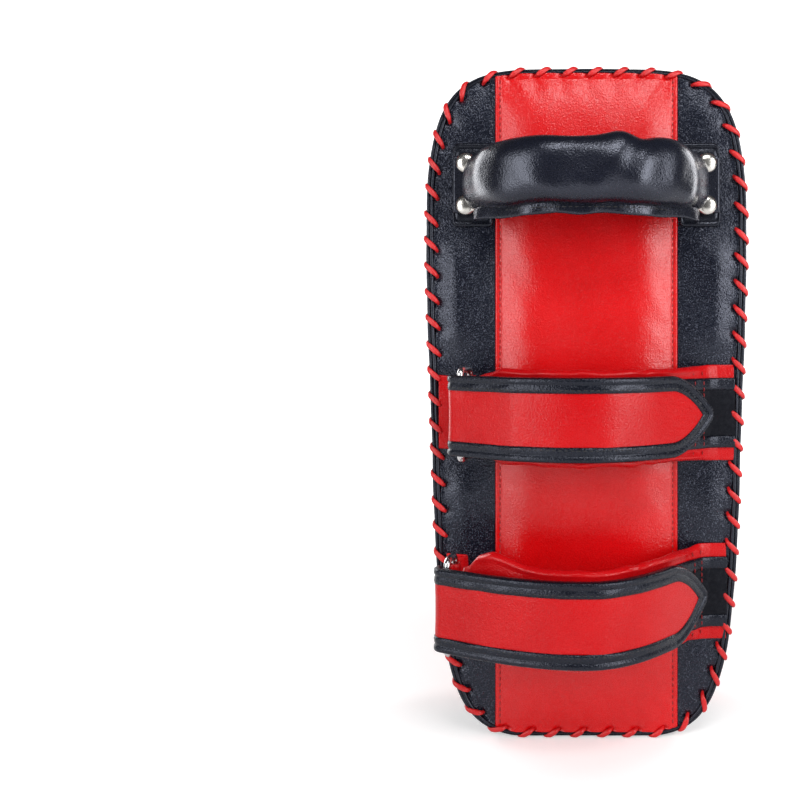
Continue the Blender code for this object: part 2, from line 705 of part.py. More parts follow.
def along(route, distance):
    """Frame of a route at a distance along it, the last stretch carried on past the end."""
    total = spacing(route)
    found = frames(route)
    k = max(i for i in range(len(total) - 1) if total[i] <= max(distance, 0.0))
    share = (distance - total[k]) / (total[k + 1] - total[k])
    mix = [[a + (b - a) * share for a, b in zip(found[k][part], found[k + 1][part])] for part in (0, 1)]
    return tuple(mix[0]), tuple(mix[1])


def tip_shape(share):
    """Half-width of the pointed tip as a share of the flap's, along the tip."""
    return max(1 - share * share, 0.0) ** 0.9


def build_strap(prefix, strap, eyelets):
    height = strap["height"]
    end, eye, bar = strap_places(strap)
    base, flap = strap_routes(strap)

    count = len(base)
    half = BASE_THICK / 2
    thin = -half + SKIN
    narrow = [FLAP_WIDTH / 2, BASE_WIDTH / 2 - STRAP_NECK]
    widths = narrow + [BASE_WIDTH / 2] * (count - 2)
    padded = [-half] * (count - 2) + [-half, -half]
    tops = [half] * (count - 2) + [thin, thin]
    shell = strip(f"{prefix}_strap", base, widths, padded, tops, height, "red", laced=-1)
    cut(shell, eyelets)
    core = base[:-3]
    past = [(2 * base[0][0] - base[1][0], 2 * base[0][1] - base[1][1])] + core
    pocket = strip(f"{prefix}_strap_pocket", past, [STRAP_FOAM_WIDTH / 2 + GAP] * len(past),
                   [-half + SKIN] * len(past), [half - SKIN] * len(past), height, "foam")
    pocket.hide_render = True
    pocket.hide_set(True)
    cut(shell, pocket)
    filling = half - SKIN - GAP
    strip(f"{prefix}_strap_foam", core, [STRAP_FOAM_WIDTH / 2] * len(core), [-filling] * len(core),
          [filling] * len(core), height, "pale")

    loop_route = base[5:-2]
    strip(f"{prefix}_loop_tape", loop_route, [LOOP_WIDTH / 2] * len(loop_route),
          [half + GAP] * len(loop_route), [half + GAP + TAPE_THICK] * len(loop_route), height, "tape")

    body = FLAP_WIDTH / 2
    total = spacing(flap)[-1]
    turn = total - TIP_LENGTH
    stations = [d for d in spacing(flap) if d < turn - TIP_LENGTH / 16]
    stations += [turn + TIP_LENGTH * share for share in TIP_STATIONS[:-1]]
    rings = []
    for distance in stations:
        wide = body * tip_shape(max(distance - turn, 0) / TIP_LENGTH)
        frame = along(flap, distance)
        thick = FLAP_THICK / 2
        rings.append([place(frame, out, up, height) for out, up in (
            (-thick, -wide), (thick, -wide), (thick, wide), (-thick, wide))])
    peel_axis = Vector((bar[0], at_rise(bar[1]), height))
    hang(loft(f"{prefix}_flap", rings, "red"), peel_axis)

    hang(build_binding(f"{prefix}_flap_binding", flap, turn, spacing(flap)[1], height), peel_axis)
    hook = [along(flap, turn - HOOK_LENGTH * (1 - k / 6)) for k in range(7)]
    low = -FLAP_THICK / 2 - GAP - TAPE_THICK
    tape = loft(f"{prefix}_hook_tape", [[place(frame, out, up, height) for out, up in (
        (low, -HOOK_WIDTH / 2), (low + TAPE_THICK, -HOOK_WIDTH / 2), (low + TAPE_THICK, HOOK_WIDTH / 2),
        (low, HOOK_WIDTH / 2))] for frame in hook], "tape")
    hang(tape, peel_axis)
    hang(build_ring(f"{prefix}_ring", eye, bar, height), Vector((eye[0], at_rise(eye[1]), height)))
    build_anchor(f"{prefix}_anchor_tab", strap, end, eye, eyelets)


def build_binding(name, route, turn, start, height):
    """Folded tape round the flap's edge: along the top, round the tip and back along the bottom."""
    body = FLAP_WIDTH / 2
    outer, bottom = body + GAP + BINDING_THICK, body + GAP
    inner = body - BINDING_WIDTH
    stations = [(d, 0.0) for d in spacing(route) if start <= d < turn - TIP_LENGTH * 3 / 32]
    stations += [(turn, share) for share in TIP_STATIONS]
    walk = [(d, share, 1) for d, share in stations]
    walk += [(d, share, -1) for d, share in stations[-2::-1]]
    thick, room = FLAP_THICK / 2 + GAP + BINDING_THICK, FLAP_THICK / 2 + GAP

    def edge(distance, share, side, half, longer):
        frame = along(route, distance + (TIP_LENGTH + longer) * share)
        return frame, side * half * tip_shape(share)

    rings = []
    for distance, share, side in walk:
        points = []
        lines = {"outer": (outer, GAP + BINDING_THICK), "bottom": (bottom, GAP),
                 "inner": (inner, -BINDING_WIDTH * 1.25)}
        spots = {key: edge(distance, share, side, half, longer) for key, (half, longer) in lines.items()}
        for key, out in (("outer", thick), ("inner", thick), ("inner", room), ("bottom", room),
                         ("bottom", -room), ("inner", -room), ("inner", -thick), ("outer", -thick)):
            frame, up = spots[key]
            points.append(place(frame, out, up, height))
        rings.append(points)
    return loft(name, rings, "black")


def build_ring(name, eye, bar, height):
    """Rectangular wire ring standing on its eye bar."""
    wire = RING_WIRE / 2
    tall = FLAP_WIDTH / 2 + GAP + BINDING_THICK + RING_ROOM + wire
    across = Vector((bar[0] - eye[0], at_rise(bar[1]) - at_rise(eye[1]), 0))
    low = Vector((eye[0], at_rise(eye[1]), height))
    corner = RING_CORNER
    span = across.length
    across.normalize()
    path = []
    for u, w, start in ((span - corner, tall - corner, 0), (corner, tall - corner, 1),
                        (corner, -tall + corner, 2), (span - corner, -tall + corner, 3)):
        for k in range(3):
            angle = start * math.pi / 2 + k * math.pi / 4
            path.append((u + corner * math.cos(angle), w + corner * math.sin(angle)))
    rings = []
    side = across.cross(Vector((0, 0, 1)))
    for k, (u, w) in enumerate(path):
        (ua, wa), (ub, wb) = path[k - 1], path[(k + 1) % len(path)]
        length = math.hypot(ub - ua, wb - wa)
        outward = across * ((wb - wa) / length) + Vector((0, 0, -(ub - ua) / length))
        middle = low + across * u + Vector((0, 0, w))
        rings.append([middle + outward * wire * math.cos(i * TURN / 8) + side * wire * math.sin(i * TURN / 8)
                      for i in range(8)])
    return loft(name, rings, "metal", looped=True)


def build_anchor(name, strap, end, eye, eyelets):
    """Leather tab from the laced rim to an eye round the ring's bar."""
    height = strap["height"]
    half = ANCHOR_THICK / 2
    reach = RING_WIRE / 2 + GAP + half
    flat = GAP + half
    left = (-end, flat)
    landing = (-end + TONGUE * 0.55, flat)
    low = (eye[0] + reach * math.cos(-2.2), eye[1] + reach * math.sin(-2.2))
    route = [left, landing]
    if eye[1] - reach > flat + reach:
        start = 2.9
        first = (eye[0] + reach * math.cos(start), eye[1] + reach * math.sin(start))
        side = (first[0] - 0.8 * ANCHOR_BEND, first[1] - 5 * ANCHOR_BEND)
        back = side[0] - landing[0]
        route += [(landing[0] + 0.15 * back, flat + 5 * ANCHOR_BEND),
                  (landing[0] + 0.65 * back, (flat + side[1]) / 2 + 1.5 * ANCHOR_BEND), side]
        sweep = [start - k * 4.9 / 8 for k in range(9)]
    else:
        start = -math.pi / 2
        sweep = [start + k * 4.9 / 8 for k in range(9)]
    route += [(eye[0] + reach * math.cos(a), eye[1] + reach * math.sin(a)) for a in sweep]
    count = len(route)
    tab = strip(name, route, [ANCHOR_WIDTH / 2] * count, [-half] * count,
                [-half + SKIN] * 2 + [half] * (count - 2), height, "red", laced=0)
    cut(tab, eyelets)


def build():
    clear_scene()
    eyelets = eyelet_cutter("panel_eyelets", 0, GAP * 4 / 3)
    shank = RIVET_SHANK / 2 + GAP
    shank_holes = cutter_from("shank_holes", [
        (disc(x, z, shank, -RIVET_SHANK), disc(x, z, shank, 2 * HEAD_RISE)) for x, z, _ in rivet_places()])
    pocket = BURR_WIDTH / 2 + GAP
    burr_pockets = cutter_from("burr_pockets", [
        (disc(x, z, pocket, -BURR_DEPTH - BURR_THICK - 4 * GAP), disc(x, z, pocket, 0))
        for x, z, _ in rivet_places()])
    build_covers()
    build_rim()
    build_back(eyelets, shank_holes)
    build_foam(burr_pockets)
    build_handle(shank_holes)
    build_rivets()
    build_strap("upper", UPPER, eyelets)
    build_strap("lower", LOWER, eyelets)


build()
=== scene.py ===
import math

import bpy
import numpy as np
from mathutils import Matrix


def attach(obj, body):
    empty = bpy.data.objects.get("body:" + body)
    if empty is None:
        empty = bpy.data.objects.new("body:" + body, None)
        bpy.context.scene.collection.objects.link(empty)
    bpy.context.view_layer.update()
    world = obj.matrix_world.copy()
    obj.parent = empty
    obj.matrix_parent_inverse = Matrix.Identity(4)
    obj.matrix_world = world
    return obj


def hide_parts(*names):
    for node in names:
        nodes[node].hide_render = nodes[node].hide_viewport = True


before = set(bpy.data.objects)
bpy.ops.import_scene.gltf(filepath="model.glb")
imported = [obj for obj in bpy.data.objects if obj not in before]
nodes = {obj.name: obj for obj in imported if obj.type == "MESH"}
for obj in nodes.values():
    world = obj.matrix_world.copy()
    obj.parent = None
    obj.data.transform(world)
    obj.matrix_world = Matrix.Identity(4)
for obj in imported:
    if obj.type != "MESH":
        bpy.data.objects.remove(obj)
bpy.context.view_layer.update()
print("frame loaded:", len(nodes), "nodes")

turn = 2 * math.pi
backPlane = -0.045  # y of the flat back, the straps stand out towards -y


# ---- shader wiring

class Wire:  # a socket that takes part in sums; node() adds any other node
    def __init__(self, tree, socket=None):
        self.tree, self.socket = tree, socket

    def node(self, kind, inputs=None, out=0, **settings):
        made = self.tree.nodes.new("ShaderNode" + kind)
        for key, value in settings.items():
            setattr(made, key, value)
        for key, value in (inputs or {}).items():
            self.join(made.inputs[key], value)
        return Wire(self.tree, made.outputs[out])

    def join(self, socket, value):
        if isinstance(value, Wire):
            self.tree.links.new(value.socket, socket)
        else:
            socket.default_value = value

    def maths(self, operation, a, b):
        return self.node("Math", {0: a, 1: b}, operation=operation)

    def __add__(self, other):
        return self.maths("ADD", self, other)

    def __radd__(self, other):
        return self.maths("ADD", other, self)

    def __sub__(self, other):
        return self.maths("SUBTRACT", self, other)

    def __rsub__(self, other):
        return self.maths("SUBTRACT", other, self)

    def __mul__(self, other):
        return self.maths("MULTIPLY", self, other)

    def __rmul__(self, other):
        return self.maths("MULTIPLY", other, self)

    def __pow__(self, other):
        return self.maths("POWER", self, other)

    def ramp(self, low, high, toLow=0.0, toHigh=1.0):  # smooth step between two values
        return self.node("MapRange", {"Value": self, "From Min": low, "From Max": high, "To Min": toLow,
                                      "To Max": toHigh}, interpolation_type="SMOOTHSTEP")

    def mix(self, first, second):  # colour between two, this socket is the share
        return self.node("Mix", {0: self, 6: first, 7: second}, out=2, data_type="RGBA")


def finish(name):  # new material: its wiring start and its shader
    made = bpy.data.materials.new(name)
    made.use_nodes = True
    shader = made.node_tree.nodes["Principled BSDF"]
    return made, Wire(made.node_tree), shader


def noise(wire, place, scale, detail=3.0, rough=0.5):
    return wire.node("TexNoise", {"Vector": place, "Scale": scale, "Detail": detail, "Roughness": rough}, out="Fac")


def bump(wire, height, distance, strength=1.0, normal=None):
    inputs = {"Height": height, "Distance": distance, "Strength": strength}
    if normal:
        inputs["Normal"] = normal
    return wire.node("Bump", inputs, out="Normal")


def colour(r, g, b):
    return (r, g, b, 1.0)


# coated leather: pebble cells pressed into the skin, finer creases over them, patchy gloss, and pale flecks painted
# into the colour as glints of light on the grain
def leather(name, main, dark, pale, cell, press, gloss, spread, level=0.45, fleck=0.3, tint=(1.0, 1.0, 1.0)):
    made, wire, shader = finish(name)
    place = wire.node("TexCoord", out="Object")
    cells = wire.node("TexVoronoi", {"Vector": place, "Scale": 1 / cell, "Randomness": 0.95},
                      out="Distance", feature="DISTANCE_TO_EDGE")
    crease = noise(wire, place, 0.9 / cell, 1.5, 0.5)
    patch = noise(wire, place, 26.0, 4.0, 0.55)
    speck = noise(wire, place, 1.8 / cell, 2.0, 0.5)
    pebble = cells.ramp(0.0, 0.45)
    shade = (patch * 0.75 + speck * 0.25).ramp(0.3, 0.72)
    base = shade.mix(colour(*dark), colour(*main))
    # painted highlight: pale flecks in the base colour stand in for glints of light on the grain
    paintedGlints = speck.ramp(0.54, 0.70, 0.0, fleck)
    wire.join(shader.inputs["Base Color"], paintedGlints.mix(base, colour(*pale)))
    wire.join(shader.inputs["Roughness"], gloss + (patch - 0.5) * spread + (1 - pebble) * 0.10)
    height = pebble * 0.3 + crease
    low = bump(wire, noise(wire, place, 160.0, 3.0, 0.5), 0.00045, 0.25)
    wire.join(shader.inputs["Normal"], bump(wire, height, press, 0.8, low))
    shader.inputs["Specular IOR Level"].default_value = level
    shader.inputs["Specular Tint"].default_value = (*tint, 1.0)
    return made


# brushed loop tape: short tangled fibres over rows of loops
def brushedTape(name, main, pale):
    made, wire, shader = finish(name)
    place = wire.node("TexCoord", out="Object")
    fibre = noise(wire, place, 1500.0, 5.0, 0.75)
    clump = noise(wire, place, 340.0, 3.0, 0.6)
    wire.join(shader.inputs["Base Color"], (fibre * 0.6 + clump * 0.4).ramp(0.4, 0.72).mix(colour(*main), colour(*pale)))
    wire.join(shader.inputs["Roughness"], 0.8 + fibre * 0.18)
    wire.join(shader.inputs["Normal"], bump(wire, fibre + clump * 1.2, 0.0007, 0.9))
    shader.inputs["Specular IOR Level"].default_value = 0.12
    shader.inputs["Sheen Weight"].default_value = 0.06
    shader.inputs["Sheen Roughness"].default_value = 0.5
    return made


# hook tape: straight rows of tiny bosses
def hookTape(name, main, pale):
    made, wire, shader = finish(name)
    place = wire.node("TexCoord", out="Object")
    boss = wire.node("TexVoronoi", {"Vector": place, "Scale": 900.0, "Randomness": 0.25}, out="Distance")
    tips = boss.ramp(0.1, 0.5, 1.0, 0.0)
    wire.join(shader.inputs["Base Color"], tips.mix(colour(*main), colour(*pale)))
    wire.join(shader.inputs["Roughness"], 0.7 - tips * 0.2)
    wire.join(shader.inputs["Normal"], bump(wire, tips, 0.0006, 0.9))
    return made


# plain-woven webbing: two crossed waves
def wovenWeb(name, main, pale):
    made, wire, shader = finish(name)
    place = wire.node("TexCoord", out="Object")
    warp = wire.node("TexWave", {"Vector": place, "Scale": 220.0}, out="Fac", bands_direction="X")
    weft = wire.node("TexWave", {"Vector": place, "Scale": 220.0}, out="Fac", bands_direction="Z")
    thread = warp * weft
    wire.join(shader.inputs["Base Color"], thread.ramp(0.2, 0.8).mix(colour(*main), colour(*pale)))
    wire.join(shader.inputs["Roughness"], 0.75 + noise(wire, place, 700.0) * 0.2)
    wire.join(shader.inputs["Normal"], bump(wire, thread, 0.0004, 0.8))
    shader.inputs["Specular IOR Level"].default_value = 0.25
    return made


# plated metal: fine scratches and faint blotches in the polish
def plated(name, main, dull, gloss):
    made, wire, shader = finish(name)
    place = wire.node("TexCoord", out="Object")
    blotch = noise(wire, place, 320.0, 4.0, 0.6)
    scratch = noise(wire, wire.node("Mapping", {"Vector": place, "Scale": (4000.0, 500.0, 900.0)}), 1.0, 2.0)
    wire.join(shader.inputs["Base Color"], blotch.ramp(0.35, 0.75).mix(colour(*dull), colour(*main)))
    wire.join(shader.inputs["Roughness"], gloss + scratch * 0.10 + blotch * 0.06)
    wire.join(shader.inputs["Normal"], bump(wire, scratch, 0.00003, 0.5))
    shader.inputs["Metallic"].default_value = 1.0
    return made


# cut foam: open cells in two sizes
def cutFoam(name, main, dark):
    made, wire, shader = finish(name)
    place = wire.node("TexCoord", out="Object")
    cells = wire.node("TexVoronoi", {"Vector": place, "Scale": 900.0}, out="Distance")
    large = noise(wire, place, 120.0, 3.0)
    wire.join(shader.inputs["Base Color"], (cells * 0.7 + large * 0.4).ramp(0.2, 0.7).mix(colour(*dark), colour(*main)))
    wire.join(shader.inputs["Roughness"], 0.85 + large * 0.12)
    wire.join(shader.inputs["Normal"], bump(wire, cells, 0.0005, 0.7))
    return made


# sewing thread: two plies twisted, slight shine
def thread(name, main, dark):
    made, wire, shader = finish(name)
    place = wire.node("TexCoord", out="Object")
    ply = wire.node("TexWave", {"Vector": place, "Scale": 700.0, "Distortion": 0.6}, out="Fac", bands_direction="DIAGONAL")
    wire.join(shader.inputs["Base Color"], ply.ramp(0.2, 0.8).mix(colour(*dark), colour(*main)))
    wire.join(shader.inputs["Roughness"], 0.5 + ply * 0.15)
    wire.join(shader.inputs["Normal"], bump(wire, ply, 0.0001, 0.6))
    return made


blackSheen = (0.80, 0.84, 1.0)
# each leather's third colour, with its fleck share, is a painted highlight: glints of the grain painted into the
# colour, strongest on grainBlack
finishes = {
    "strikeRed": leather("strikeRed", (0.60, 0.011, 0.013), (0.52, 0.008, 0.010), (0.68, 0.03, 0.03),
                         0.0011, 0.00026, 0.19, 0.06, 0.28, 0.2),
    "panelRed": leather("panelRed", (0.57, 0.001, 0.003), (0.51, 0.001, 0.002), (0.63, 0.013, 0.014),
                        0.0010, 0.00021, 0.18, 0.06, 0.48, 0.15),
    "strapRed": leather("strapRed", (0.50, 0.003, 0.005), (0.43, 0.002, 0.004), (0.57, 0.015, 0.015),
                        0.0011, 0.00024, 0.19, 0.06, 0.24, 0.15),
    "grainBlack": leather("grainBlack", (0.003, 0.0042, 0.010), (0.002, 0.0026, 0.007), (0.080, 0.088, 0.115),
                          0.0013, 0.00034, 0.17, 0.06, 0.42, 0.75, blackSheen),
    "smoothBlack": leather("smoothBlack", (0.004, 0.005, 0.011), (0.0025, 0.003, 0.007), (0.02, 0.021, 0.030),
                           0.0013, 0.00016, 0.19, 0.06, 0.57, 0.3, blackSheen),
    "patchBlack": leather("patchBlack", (0.0022, 0.0028, 0.006), (0.0014, 0.0018, 0.004), (0.010, 0.011, 0.015),
                          0.0012, 0.00010, 0.20, 0.06, 0.40, 0.1, blackSheen),
    "wallBlack": leather("wallBlack", (0.004, 0.0052, 0.011), (0.0025, 0.0032, 0.008), (0.040, 0.043, 0.058),
                         0.0014, 0.00032, 0.50, 0.10, 0.20, 0.4, blackSheen),
    "rimBlack": leather("rimBlack", (0.005, 0.006, 0.011), (0.003, 0.0035, 0.007), (0.025, 0.026, 0.035),
                        0.0009, 0.00010, 0.22, 0.08, 0.45, 0.3, blackSheen),
    "bindingBlack": leather("bindingBlack", (0.003, 0.004, 0.008), (0.002, 0.0026, 0.006), (0.022, 0.024, 0.034),
                            0.0011, 0.00026, 0.19, 0.06, 0.38, 0.4, blackSheen),
    "lace": leather("lace", (0.60, 0.011, 0.013), (0.46, 0.007, 0.009), (0.68, 0.04, 0.038), 0.0007, 0.00008, 0.32, 0.10),
    "loopTape": brushedTape("loopTape", (0.004, 0.0045, 0.008), (0.016, 0.017, 0.022)),
    "hookTape": hookTape("hookTape", (0.008, 0.008, 0.009), (0.04, 0.04, 0.042)),
    "webbing": wovenWeb("webbing", (0.008, 0.008, 0.009), (0.03, 0.03, 0.032)),
    "nickel": plated("nickel", (0.72, 0.70, 0.66), (0.52, 0.50, 0.47), 0.16),
    "chrome": plated("chrome", (0.70, 0.70, 0.71), (0.50, 0.50, 0.51), 0.10),
    "burrMetal": plated("burrMetal", (0.60, 0.58, 0.52), (0.40, 0.38, 0.33), 0.30),
    "greyFoam": cutFoam("greyFoam", (0.20, 0.20, 0.21), (0.08, 0.08, 0.085)),
    "paleFoam": cutFoam("paleFoam", (0.62, 0.60, 0.55), (0.36, 0.34, 0.30)),
    "redThread": thread("redThread", (0.36, 0.006, 0.008), (0.20, 0.003, 0.004)),
    "blackThread": thread("blackThread", (0.022, 0.022, 0.025), (0.008, 0.008, 0.009)),
}
print("finishes ready:", len(finishes))


# ---- meshes from arrays

def putMesh(name, points, faces, finishName, uv=None, slotName=None):
    mesh = bpy.data.meshes.new(name)
    mesh.from_pydata(points.tolist(), [], faces)
    mesh.polygons.foreach_set("use_smooth", np.ones(len(mesh.polygons), dtype=bool))
    if uv is not None:
        layer = mesh.uv_layers.new(name="along")
        corner = np.empty(len(mesh.loops), dtype=np.int32)
        mesh.loops.foreach_get("vertex_index", corner)
        layer.data.foreach_set("uv", uv[corner].astype(np.float32).ravel())
    mesh.materials.append(finishes[finishName])
    made = bpy.data.objects.new(name, mesh)
    bpy.context.scene.collection.objects.link(made)
    return made


def outward(points, faces):  # volume summed over fans from each face's first corner; negative means inside out
    total = 0.0
    for size in (3, 4):
        picked = np.array([f for f in faces if len(f) == size], dtype=int)
        if len(picked):
            a = points[picked[:, 0]]
            for k in range(1, size - 1):
                total += np.einsum("ij,ij->", a, np.cross(points[picked[:, k]], points[picked[:, k + 1]]))
    return faces if total > 0 else [f[::-1] for f in faces]


# grid of points joined by quads; a looped side joins its last line to its first, a pole closes an end line
# onto its mean point
def gridPiece(name, grid, finishName, loopRows=False, loopCols=False, poleFirst=False, poleLast=False, uv=None):
    rows, cols = grid.shape[:2]
    points = grid.reshape(-1, 3)
    index = np.arange(rows * cols).reshape(rows, cols)
    wrapped = np.vstack([index, index[:1]]) if loopRows else index
    wrapped = np.hstack([wrapped, wrapped[:, :1]]) if loopCols else wrapped
    quads = np.stack([wrapped[:-1, :-1], wrapped[:-1, 1:], wrapped[1:, 1:], wrapped[1:, :-1]], -1).reshape(-1, 4)
    faces = quads.tolist()
    if uv is not None:
        uv = uv.reshape(-1, 2)
    for wanted, line, order in ((poleFirst, index[0], -1), (poleLast, index[-1], 1)):
        if wanted:
            pole = len(points)
            points = np.vstack([points, points[line].mean(0)])
            if uv is not None:
                uv = np.vstack([uv, uv[line].mean(0)])
            after = np.roll(line, -1)
            fan = np.stack([line, after, np.full(len(line), pole)], -1)[:, ::order]
            faces += fan.tolist()
    return putMesh(name, points, outward(points, faces), finishName, uv)


# closed slab: an upper and a lower grid of equal size joined round their border
def slabPiece(name, upper, lower, finishName):
    rows, cols = upper.shape[:2]
    count = rows * cols
    points = np.vstack([upper.reshape(-1, 3), lower.reshape(-1, 3)])
    index = np.arange(count).reshape(rows, cols)
    quads = np.stack([index[:-1, :-1], index[:-1, 1:], index[1:, 1:], index[1:, :-1]], -1).reshape(-1, 4)
    border = np.concatenate([index[0], index[1:, -1], index[-1, -2::-1], index[-2:0:-1, 0]])
    after = np.roll(border, -1)
    walls = np.stack([after, border, border + count, after + count], -1)
    faces = quads.tolist() + (quads[:, ::-1] + count).tolist() + walls.tolist()
    return putMesh(name, points, outward(points, faces), finishName)


def merge(parts):  # several (points, faces) as one pair
    points, faces, start = [], [], 0
    for some, joined in parts:
        points.append(some)
        faces += [[i + start for i in f] for f in joined]
        start += len(some)
    return np.vstack(points), faces


def unit(v):
    return v / np.maximum(np.linalg.norm(v, axis=-1, keepdims=True), 1e-12)


def step(x, low, high):  # smooth step from 0 to 1
    share = np.clip((x - low) / (high - low), 0, 1)
    return share * share * (3 - 2 * share)


def bell(x, wide):
    return np.exp(-(x / wide) ** 2)


def lengths(path):
    return np.concatenate([[0.0], np.cumsum(np.linalg.norm(np.diff(path, axis=0), axis=1))])


def evenly(path, count):  # the same path with evenly spaced points
    far = lengths(path)
    want = np.linspace(0, far[-1], count)
    return np.stack([np.interp(want, far, path[:, k]) for k in range(path.shape[1])], -1)


def rounded(path, count):  # Catmull-Rom curve through the points
    ends = np.vstack([2 * path[0] - path[1], path, 2 * path[-1] - path[-2]])
    where = np.linspace(0, len(path) - 1.000001, count)
    k = where.astype(int)
    t = (where - k)[:, None]
    p0, p1, p2, p3 = ends[k], ends[k + 1], ends[k + 2], ends[k + 3]
    return 0.5 * (2 * p1 + (p2 - p0) * t + (2 * p0 - 5 * p1 + 4 * p2 - p3) * t ** 2
                  + (3 * p1 - p0 - 3 * p2 + p3) * t ** 3)


# short stitches: a capsule laid along the path at each pitch, its back sunk a little into the leather
def stitchRow(path, normals, stitch):
    far = lengths(path)
    count = max(int(far[-1] / stitch["pitch"]), 1)
    at = (np.arange(count) + 0.5) * far[-1] / count
    middle = np.stack([np.interp(at, far, path[:, k]) for k in range(3)], -1)
    ahead = np.stack([np.interp(at + 1e-4, far, path[:, k]) for k in range(3)], -1)
    behind = np.stack([np.interp(at - 1e-4, far, path[:, k]) for k in range(3)], -1)
    out = unit(np.stack([np.interp(at, far, normals[:, k]) for k in range(3)], -1))
    along = unit(ahead - behind)
    side = np.cross(along, out)
    share = np.array([-0.5, -0.36, 0.0, 0.36, 0.5])
    fat = np.array([0.35, 0.85, 1.0, 0.85, 0.35])
    lift = np.array([-0.9, 0.0, 0.35, 0.0, -0.9])
    angle = np.arange(6) * turn / 6
    ring = (along[:, None, None] * (share * stitch["length"])[None, :, None, None]
            + side[:, None, None] * (fat[:, None] * np.cos(angle) * stitch["radius"])[None, :, :, None]
            + out[:, None, None] * ((fat[:, None] * np.sin(angle) + lift[:, None]) * stitch["radius"])[None, :, :, None])
    points = (middle[:, None, None] + ring).reshape(-1, 3)
    index = np.arange(30).reshape(5, 6)
    wrapped = np.hstack([index, index[:, :1]])
    quads = np.stack([wrapped[:-1, :-1], wrapped[:-1, 1:], wrapped[1:, 1:], wrapped[1:, :-1]], -1).reshape(-1, 4)
    shift = (np.arange(count) * 30)[:, None, None]
    faces = (quads[None] + shift).reshape(-1, 4).tolist()
    faces += (index[0][None, ::-1] + shift[:, 0]).tolist() + (index[-1][None] + shift[:, 0]).tolist()
    first = points[np.array(faces[0])]
    facing = np.dot(np.cross(first[1] - first[0], first[2] - first[0]), first.mean(0) - middle[0])
    return points, faces if facing > 0 else [f[::-1] for f in faces]


def stitchPiece(name, rows, finishName):
    points, faces = merge(rows)
    return putMesh(name, points, faces, finishName)


def settle(piece, body, slotName, *replaced, fill=None):  # ride, finish slot (not used), nodes stood for, stuffing (not used)
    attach(piece, body)
    if replaced:
        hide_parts(*replaced)
    return piece


# ---- outline of the pad and places along its laced rim

pad = {"width": 0.188, "height": 0.400, "depth": 0.090, "power": 4.9, "taper": 0.072, "baseCut": 0.00125,
       "rimInset": 0.0069, "stitches": 66, "panelInset": 0.0050, "eyeletInset": 0.0068, "strapInset": 0.01005,
       "endRim": 0.36}
halfHeight = (pad["height"] + pad["baseCut"]) / 2
middleHeight = pad["height"] - halfHeight


# superellipse, wider towards the top, walked clockwise as seen from the back from the bottom middle; its inward
# directions are shorter across the ends, where the laced rim is narrower
def rimTable(perQuarter=900):
    w = np.linspace(0, 1, perQuarter, endpoint=False)
    k = pad["power"] / 2
    quarter = math.pi / 2 * w ** k / (w ** k + (1 - w) ** k)
    t = -math.pi / 2 - np.concatenate([quarter + q * math.pi / 2 for q in range(4)] + [[turn]])
    c, s = np.cos(t), np.sin(t)
    across = np.sign(c) * np.abs(c) ** (2 / pad["power"])
    up = np.sign(s) * np.abs(s) ** (2 / pad["power"])
    x, z = pad["width"] / 2 * across * (1 + pad["taper"] * up), middleHeight + halfHeight * up
    line = np.stack([x, z], -1)
    ring = np.vstack([line[-2], line, line[1]])
    ahead = unit(ring[2:] - ring[:-2])
    inward = np.stack([ahead[:, 1], -ahead[:, 0]], -1)
    z = np.maximum(z, 0.0)
    far = lengths(line + inward * pad["rimInset"])
    inward = inward * (1 - pad["endRim"] * inward[:, 1:] ** 2)
    return far, np.stack([x, z, inward[:, 0], inward[:, 1]], -1)


rimFar, rimPlaces = rimTable()
rimLength = rimFar[-1]
pitch = rimLength / pad["stitches"]


def rimAt(s):
    s = np.mod(s, rimLength)
    return [np.interp(s, rimFar, rimPlaces[:, k]) for k in range(4)]


def onRim(s, inset, rise):  # point beside the rim: in along the outline's normal, out from the back plane
    x, z, nx, nz = rimAt(s)
    px, pz = x + nx * inset, np.maximum(z + nz * inset, 0.0002)
    return np.stack(np.broadcast_arrays(px, backPlane - rise, pz), -1)


def rimCoords(x, z):  # distance along the rim and inset of any back point, by its nearest outline sample
    s = np.arange(pad["stitches"] * 30) * rimLength / (pad["stitches"] * 30)
    ox, oz, nx, nz = rimAt(s)
    shape = x.shape
    x, z = x.ravel(), z.ravel()
    near = np.concatenate([np.argmin((part[:, :1] - ox) ** 2 + (part[:, 1:] - oz) ** 2, 1)
                           for part in np.array_split(np.stack([x, z], -1), max(len(x) // 2000, 1))])
    dx, dz = x - ox[near], z - oz[near]
    size = np.hypot(nx, nz)[near]
    inset = (dx * nx[near] + dz * nz[near]) / size ** 2
    shift = (-dx * nz[near] + dz * nx[near]) / size
    return (s[near] + shift).reshape(shape), inset.reshape(shape)


def halfWidthAt(height, inset):  # right half-width of the drawn-in outline at a height
    pick = rimPlaces[:, 0] > 0.02
    x = rimPlaces[pick, 0] + rimPlaces[pick, 2] * inset
    z = rimPlaces[pick, 1] + rimPlaces[pick, 3] * inset
    order = np.argsort(z)
    return np.interp(height, z[order], x[order])


def edgeHeightAt(x, inset, top):  # height of the drawn-in outline over x, at the top or the bottom
    pick = (rimPlaces[:, 1] > middleHeight) == top
    px = rimPlaces[pick, 0] + rimPlaces[pick, 2] * inset
    pz = rimPlaces[pick, 1] + rimPlaces[pick, 3] * inset
    order = np.argsort(px)
    return np.interp(x, px[order], pz[order])


# one lacing stitch as (inset, rise) points and the share of the pitch at which each is reached
lacing = {"loop": [(0.0068, -0.0034), (0.0068, 0.0019), (0.0040, 0.0025), (0.0003, 0.0010), (0.0002, -0.0030),
                   (0.0042, -0.0066)],
          "share": [0.0, 0.12, 0.30, 0.52, 0.62, 0.82],
          "halfWidth": 0.0016, "halfThick": 0.0009, "steps": 30, "around": 14}
loopLine = np.array(lacing["loop"])
loopShare = np.array(lacing["share"])
holeShare = loopShare[0] + 0.4 * (loopShare[1] - loopShare[0])  # where the strand leaves the panel
gussetShare = (loopShare[4] + loopShare[5]) / 2


